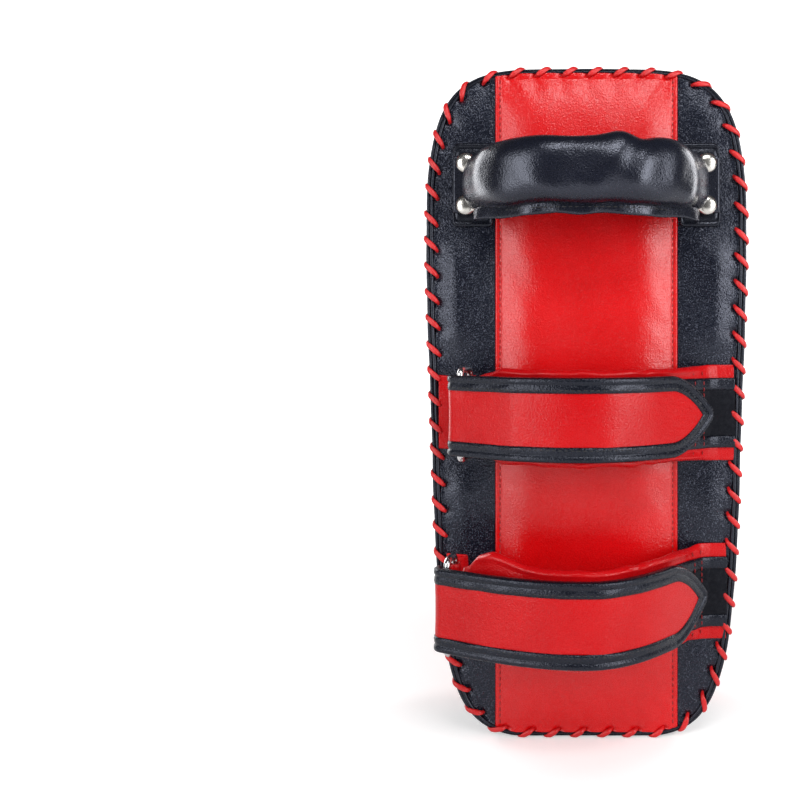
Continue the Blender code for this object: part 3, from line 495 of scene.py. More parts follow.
def phase(s, share):  # distance along the rim from the nearest stitch, at a share of its pitch
    return (np.mod(s / pitch - share + 0.5, 1) - 0.5) * pitch


def puckers(s, inset):  # leather drawn down at each lacing hole, plump between, with short creases inwards
    d = phase(s, holeShare)
    hole = -0.0012 * np.exp(-(d ** 2 + (inset - pad["eyeletInset"]) ** 2) / 0.0021 ** 2)
    plump = 0.0006 * (0.5 - 0.5 * np.cos(turn * d / pitch)) * bell(inset - pad["eyeletInset"], 0.0055)
    crease = -0.0005 * bell(d, 0.0016) * np.exp(-np.maximum(inset - pad["eyeletInset"], 0) / 0.007)
    return hole + plump + crease


def lumps(x, z, amount, wave):  # slow unevenness of a hand-stuffed surface
    return amount * (np.sin(x / wave * 1.7 + 0.4) * np.sin(z / wave + 1.1)
                     + 0.6 * np.sin(x / wave * 0.9 - z / wave * 1.6 + 2.3)
                     + 0.4 * np.sin(x / wave * 3.1 + z / wave * 2.3 + 0.7))


# ---- padded body

# strike cover: from the seam up a straight side, over a quarter round, then outline rings shrunk to the middle
# of a crowned face; the seam plane closes it inside
strike = {"seam": 0.0532, "round": 0.030, "crown": 0.0046, "around": 528}


def makeStrike():
    s = np.linspace(0, rimLength, strike["around"], endpoint=False)
    top = pad["depth"]
    angle = np.linspace(0, math.pi / 2, 22)
    inset = [0.004, 0.0010, 0.0003, -0.0003, -0.0006, -0.0005] + list(strike["round"] * (1 - np.cos(angle)))
    depth = [0.0533, 0.0532, 0.0535, 0.0545, 0.0565, 0.0585] + list(top - strike["round"] * (1 - np.sin(angle)))
    scale = [1.0] * len(inset)
    shrink = np.linspace(0.965, 0.03, 26)
    inset, depth, scale = (np.array(v) for v in (inset + [strike["round"]] * 26, depth + [top] * 26, scale + list(shrink)))
    x, z, nx, nz = rimAt(s)
    nx, nz = nx / np.hypot(nx, nz), nz / np.hypot(nx, nz)
    px = (x + nx * inset[:, None]) * scale[:, None]
    pz = middleHeight + (z + nz * inset[:, None] - middleHeight) * scale[:, None]
    face = step(depth, 0.062, top)[:, None]
    crown = strike["crown"] * (1 - scale[:, None] ** 2.2)
    y = backPlane + depth[:, None] + crown + face * lumps(px, pz, 0.00022, 0.030)
    side = (1 - face) * step(depth, 0.0540, 0.060)[:, None] * lumps(s, depth[:, None] * 3, 0.00025, 0.020)
    px, pz = px - nx * side, np.maximum(pz - nz * side, 0.0002)
    grid = np.stack([px, y, pz], -1)
    piece = gridPiece("strikeCover", grid, "strikeRed", loopCols=True, poleFirst=True, poleLast=True)
    return settle(piece, "pad", "red", "strike_cover", fill=0.95)


makeStrike()


# side wall: a section of (inset, rise) points carried round the rim, pulled in at each lacing hole
wall = {"around": 1056, "thick": 0.0012,
        "section": [(0.0022, -0.0013), (0.0009, -0.0015), (0.0004, -0.0030), (0.0002, -0.0056), (0.0001, -0.0086),
                    (0.0000, -0.0130), (-0.0004, -0.020), (-0.0006, -0.030), (-0.0004, -0.042), (0.0001, -0.0500),
                    (0.0005, -0.0521), (0.0010, -0.0531)]}


def makeWall():
    s = np.linspace(0, rimLength, wall["around"], endpoint=False)
    line = rounded(np.array(wall["section"]), 30)
    d = phase(s, gussetShare)
    inset, rise = line[:, :1], line[:, 1:]
    near = np.exp(-((rise + 0.0046) / 0.003) ** 2)
    drawn = near * (0.0008 * bell(d, 0.0022) - 0.0003 * (0.5 - 0.5 * np.cos(turn * d / pitch)))
    fold = 0.00035 * np.exp(-((rise + 0.014) / 0.008) ** 2) * np.cos(turn * d / pitch)
    uneven = step(-rise, 0.012, 0.02) * step(rise, -0.050, -0.044) * lumps(s, rise * 4, 0.0003, 0.018)
    outer = onRim(s, inset + drawn + fold - uneven, np.broadcast_to(rise, (len(line), len(s))))
    inner = onRim(s, inset[::-1] + wall["thick"] + 0 * d, np.broadcast_to(rise[::-1] - 0.0002, (len(line), len(s))))
    grid = np.concatenate([outer, inner])
    piece = gridPiece("sideWall", grid, "wallBlack", loopRows=True, loopCols=True)
    return settle(piece, "pad", "black", "side_gusset")


makeWall()


# rim rolls: a round section carried round the rim, nipped where the lacing crosses, fuller between
rolls = {"radius": 0.0011, "nip": 0.18, "around": 1320, "section": 14,
         "back": (0.0039, 0.0007, 2), "side": (0.0016, -0.0003, 3)}


def makeRoll(name, which, node):
    inset, rise, passing = rolls[which]
    s = np.linspace(0, rimLength, rolls["around"], endpoint=False)
    d = phase(s, loopShare[passing])
    radius = rolls["radius"] * (1 + rolls["nip"] * (0.35 - bell(d, 0.0021)))
    wander = 0.00018 * np.sin(s / 0.0173) + 0.00012 * np.sin(s / 0.0071 + 1)
    angle = (np.arange(rolls["section"]) * turn / rolls["section"])[:, None]
    grid = onRim(s, inset + wander + radius * np.cos(angle), rise + radius * np.sin(angle))
    piece = gridPiece(name, grid, "rimBlack", loopRows=True, loopCols=True)
    return settle(piece, "pad", "black", node)


makeRoll("rimRollBack", "back", "rim_roll_back")
makeRoll("rimRollSide", "side", "rim_roll_side")


# lacing: the stitch loop repeated round the rim as one smooth line, a flattened section carried along it
def makeLacing():
    steps = lacing["steps"]
    wrapped = np.vstack([loopLine, loopLine, loopLine, loopLine[:1]])
    share = np.concatenate([loopShare - 1, loopShare, loopShare + 1, [2.0]])
    curve = rounded(np.column_stack([wrapped, share]), 18 * 40 + 1)
    pick = np.linspace(0, 1, steps, endpoint=False)
    inset = np.interp(pick, curve[:, 2], curve[:, 0])
    rise = np.interp(pick, curve[:, 2], curve[:, 1])
    s = (np.arange(pad["stitches"])[:, None] + pick).ravel()
    inset, rise = np.tile(inset, pad["stitches"]), np.tile(rise, pad["stitches"])
    slack = 0.00025 * np.sin(np.floor(s) * 2.4) + 0.0002 * np.sin(np.floor(s) * 5.1 + 1)
    keep = s < pad["stitches"] - 0.12
    s, inset, rise, slack = s[keep], inset[keep], rise[keep], slack[keep]
    line = onRim(s * pitch + slack, inset, rise)
    heart = onRim(s * pitch, 0.0036, -0.0020)
    along = unit(np.gradient(line, axis=0))
    out = line - heart
    out = unit(out - along * np.sum(out * along, -1, keepdims=True))
    side = np.cross(along, out)
    angle = np.arange(lacing["around"]) * turn / lacing["around"]
    full = 0.66 + 0.34 * step(np.mod(s, 1), 0.06, 0.26) * step(-np.mod(s, 1), -0.66, -0.46)
    section = (side[:, None] * full[:, None, None] * (np.cos(angle) * lacing["halfWidth"])[:, None]
               + out[:, None] * (np.sin(angle) * lacing["halfThick"])[:, None])
    grid = line[:, None] + section
    grid[..., 2] = np.maximum(grid[..., 2], 0.0002)
    far = lengths(line)
    uv = np.stack(np.broadcast_arrays(far[:, None], angle / turn * 0.008), -1)
    piece = gridPiece("edgeLacing", grid, "lace", loopCols=True, poleFirst=True, poleLast=True, uv=uv)
    return settle(piece, "pad", "cord", "edge_lacing")


makeLacing()
print("body, rim and lacing made, stitch pitch", round(pitch * 1000, 2), "mm")

# heights between which fittings press the black panels flat
pressed = [(0.306, 0.354), (0.168, 0.220), (0.062, 0.114)]


def pressing(z):
    free = np.ones_like(z)
    for low, high in pressed:
        free = free * (1 - step(z, low - 0.024, low) * step(-z, -high - 0.024, -high))
    return free


# black side panel: straight lines across from the red panel's edge to the rim, puffed between, puckered at the lacing
side = {"seam": 0.0532, "puff": 0.0036, "along": 420, "across": 44, "thick": 0.0010}


def makeSide(name, sign, node):
    low = edgeHeightAt(side["seam"], pad["panelInset"], False)
    high = edgeHeightAt(side["seam"], pad["panelInset"], True)
    w = np.linspace(-1, 1, side["along"])
    z = (low + high) / 2 + (high - low) / 2 * np.sin(w * math.pi / 2) * (1 - 1e-5)
    edge = halfWidthAt(z, pad["panelInset"])
    across = np.linspace(0, 1, side["across"]) ** 0.85
    x = side["seam"] + (np.maximum(edge, side["seam"] + 1e-5) - side["seam"]) * across[:, None]
    z = np.broadcast_to(z, x.shape)
    s, inset = rimCoords(sign * x, z)
    fromRim, fromSeam = inset - pad["panelInset"], x - side["seam"]
    free = 0.12 + 0.88 * pressing(z)
    puff = side["puff"] * step(fromRim, -0.001, 0.016) * step(fromSeam, -0.006, 0.032)
    rise = (puff + lumps(x * sign, z, 0.00022, 0.016) * step(fromRim, 0, 0.012)) * free
    rise = rise + puckers(s, inset) * (0.25 + 0.75 * free) + 0.0005 * bell(fromRim, 0.0012)
    rise = np.maximum(rise, -0.0010) - 0.0004 * bell(fromSeam, 0.004)
    upper = np.stack([sign * x, backPlane - rise, z], -1)
    lower = upper + np.array([0, side["thick"], 0])
    piece = slabPiece(name, upper, lower, "grainBlack")
    return settle(piece, "pad", "black", node)


makeSide("sidePanelRight", 1, "back_panel_right")
makeSide("sidePanelLeft", -1, "back_panel_left")


# red centre panel: hem folded over the black, a sewn valley, then a plump channel with a shallow dip in the middle
centre = {"half": 0.0546, "hem": 0.0014, "sewn": 0.0030, "plump": 0.0054, "dip": 0.0007, "across": 120, "along": 300,
          "thread": {"pitch": 0.0036, "length": 0.0027, "radius": 0.00038}}


def centreRise(x, z, s, inset):
    e = centre["half"] - np.abs(x)
    share = np.clip((e - centre["sewn"] + 0.0004) / 0.030, 0, 1)
    body = centre["plump"] * (share + np.sin(np.pi * share) / np.pi) - centre["dip"] * bell(x, 0.020)
    ends = 1 - np.abs((z - middleHeight) / (halfHeight - 0.0070)) ** 14
    fringe = bell(inset - 0.021, 0.0075) * np.cos(turn * phase(s, holeShare + 0.5) / pitch)
    nearEnd = step(np.abs(z - middleHeight), 0.150, 0.168)
    hem = centre["hem"] * np.sqrt(np.clip(e / 0.0007, 0, 1)) - 0.00045 * bell(e - centre["sewn"], 0.0007)
    wrinkle = 0.00028 * step(e, 0.003, 0.010) * np.sin(z / 0.0041 + 0.8 * np.sin(z / 0.013) + x / 0.006) * bell(e - 0.011, 0.008)
    return hem + (body + lumps(x, z, 0.00025, 0.017) * step(e, 0.006, 0.020) + 0.6 * wrinkle) * np.maximum(ends, 0) \
        + nearEnd * (0.0003 * fringe + puckers(s, inset))


def makeCentre():
    u = np.linspace(-1, 1, centre["across"])
    x = centre["half"] * np.sign(u) * (1 - (1 - np.abs(u)) ** 1.25)
    low, high = edgeHeightAt(x, pad["panelInset"], False), edgeHeightAt(x, pad["panelInset"], True)
    w = np.sin(np.linspace(-1, 1, centre["along"]) * math.pi / 2)[:, None]
    z = (low + high) / 2 + (high - low) / 2 * w
    x = np.broadcast_to(x, z.shape)
    s, inset = rimCoords(x, z)
    rise = np.maximum(centreRise(x, z, s, inset), -0.0008)
    upper = np.stack([x, backPlane - rise, z], -1)
    lower = np.stack([x, np.full(x.shape, backPlane + 0.0004) - np.maximum(rise - 0.0030, 0), z], -1)
    piece = slabPiece("forearmPanel", upper, lower, "panelRed")
    settle(piece, "pad", "red", "forearm_panel", fill=0.7)
    rows = []
    for sign in (-1, 1):
        px = sign * (centre["half"] - centre["sewn"])
        pz = np.linspace(edgeHeightAt(px, pad["panelInset"] + 0.003, False), edgeHeightAt(px, pad["panelInset"] + 0.003, True), 500)
        ps, pin = rimCoords(np.full(500, px), pz)
        path = np.stack([np.full(500, px), backPlane - centreRise(np.full(500, px), pz, ps, pin) - 0.0001, pz], -1)
        rows.append(stitchRow(path, np.tile([0.0, -1.0, 0.0], (500, 1)), centre["thread"]))
    settle(stitchPiece("forearmPanelStitching", rows, "redThread"), "pad", "red")


makeCentre()
print("back panels made")


# ---- pieces bent along a route of (x, rise) points

def routeFrames(route):  # outward direction at each point of a route
    ahead = unit(np.gradient(route, axis=0))
    return np.stack([-ahead[:, 1], ahead[:, 0]], -1)


def alongRoute(route, far):  # points and outward directions at distances along a route
    total = lengths(route)
    out = routeFrames(route)
    take = lambda table: np.stack([np.interp(far, total, table[:, k]) for k in range(2)], -1)
    return take(route), unit(take(out))


def lift(point, out, up, away, height):  # this far up from the strap's middle and away from the route
    x = point[..., 0] + out[..., 0] * away
    rise = point[..., 1] + out[..., 1] * away
    return np.stack(np.broadcast_arrays(x, backPlane - rise, height + up), -1)


# band: across the width a row of upper points and a row of lower ones, closed at both edges by a soft round
def bandSection(count, softness):
    u = np.sin(np.linspace(-1, 1, count) * math.pi / 2)
    round_ = (1 - np.abs(u) ** softness) ** (1 / 2.2)
    return np.concatenate([u, u[::-1][1:-1]]), np.concatenate([round_, -round_[::-1][1:-1]])


def band(name, route, halfWidth, low, high, height, finishName, count=25, softness=16, along=None, shape=None):
    total = lengths(route)
    far = np.linspace(0, total[-1], along or len(route))
    point, out = alongRoute(route, far)
    u, v = bandSection(count, softness)
    wide, under, over = (np.interp(far, total, np.broadcast_to(a, total.shape)) if np.ndim(a) else np.full(len(far), a)
                         for a in (halfWidth, low, high))
    up = wide[:, None] * u
    away = (under + over)[:, None] / 2 + (over - under)[:, None] / 2 * v
    if shape is not None:
        extraUp, extraAway = shape(far[:, None], u, v)
        up, away = up + extraUp, away + extraAway
    grid = lift(point[:, None], out[:, None], up, away, height)
    return gridPiece(name, grid, finishName, loopCols=True, poleFirst=True, poleLast=True)


# ---- grab handle

handle = {"height": 0.330, "span": 0.108, "rise": 0.049, "lift": 0.0085, "halfWide": 0.018, "halfThick": 0.012,
          "along": 260, "around": 96, "footTurn": 0.0575, "footLength": 0.0215, "webHalf": 0.0135, "footHalf": 0.017,
          "webThick": 0.0024, "footRise": 0.0024,
          "welt": {"width": 0.0055, "thick": 0.0024, "thread": {"pitch": 0.0034, "length": 0.0025, "radius": 0.0003}}}


def handleArch(count):  # half a superellipse standing on the back
    t = math.pi - np.linspace(0, math.pi, 4001)
    c, s = np.cos(t), np.abs(np.sin(t))
    x = handle["span"] / 2 * np.sign(c) * np.abs(c) ** 0.8
    rise = handle["lift"] + (handle["rise"] - handle["lift"]) * s ** 0.8
    return evenly(np.stack([x, rise], -1), count)


# creases of the sleeve: narrow folds across it, each as (place along, slant, depth, width, side it lies on)
creases = [(0.17, 0.20, 0.0006, 0.0060, 0.5), (0.27, -0.25, 0.0005, 0.0070, -0.4), (0.42, 0.30, 0.0010, 0.0100, 0.1),
           (0.545, -0.30, 0.0006, 0.0080, -0.2), (0.635, 0.45, 0.0012, 0.0050, 0.8), (0.74, -0.20, 0.0007, 0.0060, 0.2),
           (0.83, 0.25, 0.0006, 0.0050, -0.3), (0.90, -0.15, 0.0005, 0.0040, 0.3)]


def makeHandle():
    route = handleArch(handle["along"])
    far = lengths(route)
    out = routeFrames(route)
    angle = np.arange(handle["around"]) * turn / handle["around"]
    c, s = np.cos(angle), np.sin(angle)
    up = handle["halfWide"] * np.sign(c) * np.abs(c) ** (2 / 2.6)
    away = handle["halfThick"] * np.sign(s) * np.abs(s) ** (2 / 2.6)
    share = far / far[-1]
    swell = 1 + 0.05 * np.sin(share * turn * 1.5 + 0.6)[:, None] * (s > 0)
    ends = step(share, 0, 0.02) * step(1 - share, 0, 0.02)
    draw = (0.97 + 0.03 * ends)[:, None]
    lean = 0.0068 * (bell(share, 0.055) + bell(1 - share, 0.055))[:, None] * (0.5 + 0.5 * s)
    peak = 0.0016 * bell(share - 0.60, 0.05)[:, None] * step(c, 0.2, 0.9)
    fold = np.zeros((len(route), len(angle)))
    for where, slant, deep, wide, lies in creases:
        d = far[:, None] - where * far[-1] - slant * up
        fold -= deep * bell(d, wide) * np.exp(-((up / handle["halfWide"] - lies) / 0.75) ** 2)
        fold += deep * 0.55 * (bell(d - wide * 1.9, wide * 1.3) + bell(d + wide * 1.9, wide * 1.3))
    uneven = lumps(far[:, None] + 0 * up, up * 1.5 + away, 0.00025, 0.012)
    nUp = np.sign(c) * np.abs(c) ** (2 - 2 / 2.6) / handle["halfWide"]
    nAway = np.sign(s) * np.abs(s) ** (2 - 2 / 2.6) / handle["halfThick"]
    size = np.hypot(nUp, nAway) + 1e-9
    push = (fold + uneven) * ends[:, None]
    fullUp = up * draw + push * nUp / size + peak
    fullAway = away * swell * draw + push * nAway / size + lean
    grid = lift(route[:, None], out[:, None], fullUp, fullAway, handle["height"])
    piece = gridPiece("handleSleeve", grid, "smoothBlack", loopCols=True, poleFirst=True, poleLast=True)
    settle(piece, "pad", "black", "handle_cover", fill=0.6)

    welt = handle["welt"]
    middle = handle["height"] - handle["halfWide"] - 0.0001 - welt["width"] / 2
    part = route[(share > 0.04) & (share < 0.96)]

    weltLong = lengths(part)[-1]

    def ripple(d, u, v):  # the free lower edge waves and puckers along the seam, its ends follow the sleeve outwards
        free = (1 - u) / 2
        return (0.0006 * free * np.sin(d / 0.0061 + np.sin(d / 0.011)),
                free * (0.0006 * np.sin(d / 0.0053 + 1.3) + 0.0003 * np.sin(d / 0.0027))
                + 0.0105 * (bell(d, 0.013) + bell(d - weltLong, 0.013)))

    piece = band("handleWelt", part, welt["width"] / 2 + 0.0012, -welt["thick"] / 2, welt["thick"] / 2, middle + 0.0008,
                 "smoothBlack", 15, 6, 320, ripple)
    settle(piece, "pad", "black", "handle_welt")
    seam = alongRoute(part, np.linspace(0, lengths(part)[-1], 400))
    path = lift(seam[0], seam[1], -handle["halfWide"] - 0.0022, welt["thick"] / 2 + 0.0001, handle["height"])
    normal = np.stack([seam[1][:, 0], -seam[1][:, 1], 0 * seam[1][:, 0]], -1)
    settle(stitchPiece("handleWeltStitching", [stitchRow(path, normal, welt["thread"])], "blackThread"), "pad", "black")

    flat = handle["footRise"] + handle["webThick"] / 2
    foot = np.array([(handle["footTurn"] + handle["footLength"], flat), (handle["footTurn"] + 0.006, flat),
                     (handle["footTurn"] + 0.0008, flat), (handle["footTurn"] - 0.0006, flat),
                     (handle["footTurn"] - 0.0026, flat + 0.0012), (handle["span"] / 2 + 0.0001, flat + 0.0035)])
    web = np.vstack([foot * [-1, 1], handleArch(60), foot[::-1]])
    web = evenly(web, 240)
    wide = np.where(np.abs(web[:, 0]) > handle["footTurn"] - 0.001, handle["footHalf"], handle["webHalf"])
    piece = band("handleWeb", web, wide, -handle["webThick"] / 2, handle["webThick"] / 2,
                 handle["height"], "smoothBlack", 21, 12)
    settle(piece, "pad", "web", "handle_web")


makeHandle()


# flat patch: an outline of four rounded corners, rings shrunk to its middle, edge turned down
patch = {"inner": 0.0558, "outer": 0.080, "half": 0.025, "thick": 0.0018, "corner": 0.0028, "clear": 0.0138}


def makePatch(name, sign, node):
    t = np.arange(160) * turn / 160
    c, s = np.cos(t), np.sin(t)
    z = handle["height"] + patch["half"] * np.sign(s) * np.abs(s) ** (2 / 14)
    right = np.minimum(patch["outer"], halfWidthAt(z, patch["clear"]))
    mid = (patch["inner"] + right) / 2
    x = mid + (right - patch["inner"]) / 2 * np.sign(c) * np.abs(c) ** (2 / 14)
    line = np.stack([x, z], -1)
    heart = np.array([(patch["inner"] + patch["outer"]) / 2, handle["height"]])
    shrink = np.array([0.05, 0.4, 0.7, 0.84, 0.885, 0.92, 0.965, 0.99, 1.0, 0.99, 0.9, 0.5, 0.05])
    rise = np.array([0.0019, 0.0019, 0.0019, 0.0020, 0.0015, 0.0022, 0.0022, 0.0017, 0.0010, 0.0004, 0.0002, 0.0002, 0.0002])
    grid = heart + (line - heart) * shrink[:, None, None]
    points = np.stack([sign * grid[..., 0], backPlane - np.broadcast_to(rise[:, None], grid.shape[:2]), grid[..., 1]], -1)
    piece = gridPiece(name, points, "patchBlack", loopCols=True, poleFirst=True, poleLast=True)
    return settle(piece, "pad", "black", node)


makePatch("handlePatchRight", 1, "handle_tab_right")
makePatch("handlePatchLeft", -1, "handle_tab_left")


# rivet: a turned profile of (radius, rise): shank, flange, domed head with a shallow pressed ring
rivet = {"x": 0.07155, "half": 0.0125, "head": 0.006, "rise": 0.0050, "dome": 0.0027, "around": 64}


def makeRivet(name, x, z, node):
    head, rise, dome = rivet["head"], rivet["rise"], rivet["dome"]
    a = np.linspace(0.12, math.pi / 2 * 0.985, 16)
    profile = [(0.002, rise - 0.004), (0.002, rise - 0.0001), (head * 0.97, rise - 0.0002), (head, rise + 0.0001)]
    profile += [(head * math.cos(k) ** 0.9, rise + dome * math.sin(k) ** 0.95) for k in a]
    profile = np.array(profile)
    t = np.arange(rivet["around"]) * turn / rivet["around"]
    grid = np.stack(np.broadcast_arrays(x + profile[:, :1] * np.cos(t), backPlane - profile[:, 1:],
                                        z + profile[:, :1] * np.sin(t)), -1)
    piece = gridPiece(name, grid, "nickel", loopCols=True, poleFirst=True, poleLast=True)
    return settle(piece, "pad", "metal", node)


for where, sign in (("left", -1), ("right", 1)):
    for level, row in (("top", 1), ("bottom", -1)):
        makeRivet("rivet" + where.title() + level.title(), sign * rivet["x"], handle["height"] + row * rivet["half"],
                  "rivet_" + where + "_" + level)
print("handle made")


# ---- forearm straps

straps = {
    "upper": {"height": 0.194, "crown": 0.043, "eye": (-0.069103, 0.0047), "bar": (-0.072962, 0.018158),
              "roll": 0.0, "fold": 0.0022},
    "lower": {"height": 0.0875, "crown": 0.057, "eye": (-0.075987, 0.0205), "bar": (-0.077935, 0.034364),
              "roll": 0.0055, "fold": 0.0}}
strapSizes = {"baseHalf": 0.027, "baseThick": 0.005, "tongue": 0.013, "reach": 0.0046, "loopHalf": 0.019, "tapeThick": 0.0011,
              "flapHalf": 0.022, "flapThick": 0.0026, "tip": 0.032, "binding": 0.0008, "bindingWidth": 0.0075,
              "stack": 0.0077, "knuckle": 0.0047, "knuckleOut": 0.0071, "wire": 0.002, "ringTall": 0.0263,
              "ringCorner": 0.0035, "anchorHalf": 0.022, "anchorThick": 0.0018, "hookHalf": 0.014, "hookLength": 0.055,
              "thread": {"pitch": 0.0034, "length": 0.0025, "radius": 0.0003},
              "barThread": {"pitch": 0.0034, "length": 0.0026, "radius": 0.00036}}


def strapRoutes(strap):  # left quarter wave up to the crown, then a steeper fall to the laced foot on the right
    size = strapSizes
    end = halfWidthAt(strap["height"], pad["strapInset"]) - 0.0003
    flat = 0.0003 + size["baseThick"] / 2
    bar, crown = strap["bar"], strap["crown"]
    left = (bar[0] + size["knuckleOut"] + 0.0024, bar[1] - size["knuckle"] * 0.9)
    k = np.linspace(0, 1, 90)

    def falling(start, top):
        share = 1 - k
        return np.stack([start[0] * share, start[1] + (top - start[1]) * np.cos(share * math.pi / 2)], -1)

    foot = (end - size["tongue"], flat)
    rising = np.stack([foot[0] * k, foot[1] + (crown - foot[1]) * np.sin((1 - k) * math.pi / 2) ** 1.2], -1)[1:]
    tail = np.array([(end - size["tongue"] * 0.75, flat), (end - size["tongue"] * 0.4, flat), (end + size["reach"], flat)])
    rise = falling(left, crown)
    t = (np.arange(10)[:, None] + 1) / 11
    bend = rising.copy()  # the foot's corner eased by a curve from the slope to the flat
    bend[-10:] = (1 - t) ** 2 * rising[-11] + 2 * t * (1 - t) * np.array(foot) + t ** 2 * tail[0]
    base = np.vstack([rise, bend, tail])
    high = crown + size["stack"]
    drop = math.atan(math.pi / 2 * (high - bar[1] - size["knuckle"]) / -bar[0])
    start = math.pi / 2 + drop
    around = np.linspace(4.5, start, 24, endpoint=False)
    curl = np.stack([bar[0] + size["knuckle"] * np.cos(around), bar[1] + size["knuckle"] * np.sin(around)], -1)
    meet = (bar[0] + size["knuckle"] * math.cos(start), bar[1] + size["knuckle"] * math.sin(start))
    arch = np.vstack([rise, rising])
    over = (arch + routeFrames(arch) * size["stack"])[len(rise):]
    flap = np.vstack([curl, falling(meet, high), over])
    flap[:, 1] += strap["fold"] * np.exp(-(np.abs(flap[:, 0] + 0.040) / 0.014) ** 1.3)
    return end, base, flap


def tipShare(share):  # half-width of the pointed tip as a share of the flap's
    return np.maximum(1 - np.clip(share, 0, 1) ** 1.7, 0) ** 0.92


def makeStrap(prefix, strap):
    size, height = strapSizes, strap["height"]
    end, base, flap = strapRoutes(strap)
    total = lengths(base)[-1]
    half = size["baseThick"] / 2
    far = lengths(base)
    wide = np.interp(far, [0, 0.010, 0.020, total - 0.030, total - 0.016, total],
                     [size["flapHalf"], size["baseHalf"] - 0.002, size["baseHalf"], size["baseHalf"], size["baseHalf"] + 0.0015,
                      size["baseHalf"] + 0.0015])
    over = half - (2 * half - 0.0014) * step(base[:, 0], end - size["tongue"] * 1.5, end - size["tongue"] * 0.1)

    def stuffed(d, u, v):  # padding swells the middle, short wrinkles run in from the sewn edges
        edge = np.abs(u)
        ripple = np.sin(d / 0.0031 + 1.7 * np.sin(d / 0.009)) * np.sin(d / 0.021 + 0.5)
        keep = step(total - d, 0.014, 0.030) * step(d, 0.004, 0.014)
        raised = strap["roll"] * step(d, 0.002, 0.012) * step(-d, -0.052, -0.018) * step(u, 0.3, 1.0)
        return (0.0006 * ripple * np.sign(u) * step(edge, 0.7, 1.0) * keep + raised,
                (0.0006 * ripple * step(edge, 0.55, 0.9) * (1 - step(edge, 0.96, 1))
                 + 0.0016 * bell(edge - 0.93, 0.055) * np.maximum(v, 0) ** 0.5) * keep)

    piece = band(prefix + "Strap", base, wide, -half, over, height, "strapRed", 41, 7, 260, stuffed)
    settle(piece, "pad", "red", prefix + "_strap", fill=0.6)

    start = int(0.80 * 90)
    tape = np.vstack([base[start:-1], base[-1] + [0.0004, 0]])
    top = np.append(over[start:-1], over[-1])
    piece = band(prefix + "LoopTape", tape, size["loopHalf"] - 0.0050, top - 0.0002, top + 0.0009, height, "loopTape",
                 25, 20, 200)
    settle(piece, "pad", "tape", prefix + "_loop_tape")
    edging = []
    for sign in (-1, 1):
        piece = band(prefix + "TapeEdging" + ("Low" if sign < 0 else "High"), tape, 0.0036, top - 0.0004, top + 0.0018,
                     height + sign * (size["loopHalf"] - 0.0018), "bindingBlack", 13, 4, 200)
        settle(piece, "pad", "black")
        edging.append(piece)

    turnAt = lengths(flap)[-1] - size["tip"]
    farFlap = np.concatenate([np.linspace(0, turnAt, 200, endpoint=False),
                              turnAt + size["tip"] * np.sin(np.linspace(0, 1, 40) * math.pi / 2) * 0.985])
    point, out = alongRoute(flap, farFlap)
    u, v = bandSection(31, 14)
    wideFlap = size["flapHalf"] * tipShare((farFlap - turnAt) / size["tip"])
    ripple = np.sin(farFlap[:, None] / 0.0062 + 1.3 * np.sin(farFlap[:, None] / 0.017)) * np.sin(farFlap[:, None] / 0.027 + 0.9)
    plump = (0.0005 * (1 - np.abs(u) ** 4) + 0.00028 * ripple * step(np.abs(u), 0.2, 0.6)) * np.maximum(v, 0) ** 0.5
    grid = lift(point[:, None], out[:, None], wideFlap[:, None] * u,
                size["flapThick"] / 2 * v + plump * step(wideFlap, 0, 0.012)[:, None], height)
    piece = gridPiece(prefix + "Flap", grid, "strapRed", loopCols=True, poleFirst=True, poleLast=True)
    body = prefix + "_flap"
    settle(piece, body, "red", prefix + "_flap")

    # binding: a folded tape; lines at growing inset follow the flap's edge, shortened towards the tip
    tipPart = np.sin(np.linspace(0, 1, 46) * math.pi / 2)
    straight = np.linspace(0.004, turnAt, 200, endpoint=False)
    walkFar = np.concatenate([straight, np.full(46, turnAt)])
    walkShare = np.concatenate([np.zeros(200), tipPart])
    walkFar, walkShare = np.concatenate([walkFar, walkFar[-2::-1]]), np.concatenate([walkShare, walkShare[-2::-1]])
    sideSign = np.concatenate([np.ones(246), -np.ones(245)])
    thick = size["flapThick"] / 2 + 0.0003 + size["binding"]
    a = np.linspace(math.pi / 2, -math.pi / 2, 11)
    fold = np.array([0.0075, 0.0074, 0.0060, 0.0042, 0.0033, 0.0029, 0.0025, 0.0018, 0.0008])
    bulge = np.array([-0.0008, -0.0001, 0.00005, 0.0, -0.0003, -0.0004, -0.0002, 0.0003, 0.00035])
    inset = np.concatenate([fold, -0.0012 * np.cos(a), fold[::-1], [0.0040]])
    awayLine = np.concatenate([thick + bulge, (thick + 0.0003) * np.sin(a), -thick - 0.3 * bulge[::-1], [0.0]])
    wave = 0.00035 * np.sin(walkFar / 0.0037 + sideSign) * np.sin(walkFar / 0.023)

    def bindingLine(inset, away):
        along = walkFar[:, None] + (size["tip"] + 0.0011 - 1.25 * np.maximum(inset, 0)) * walkShare[:, None]
        along = along - np.minimum(inset, 0) * walkShare[:, None]
        up = (sideSign[:, None] * (size["flapHalf"] - inset) * tipShare(walkShare)[:, None])
        point, out = alongRoute(flap, along.ravel())
        shape = along.shape + (2,)
        return lift(point.reshape(shape), out.reshape(shape), up, away + wave[:, None] * (inset > 0.004), height), out.reshape(shape)

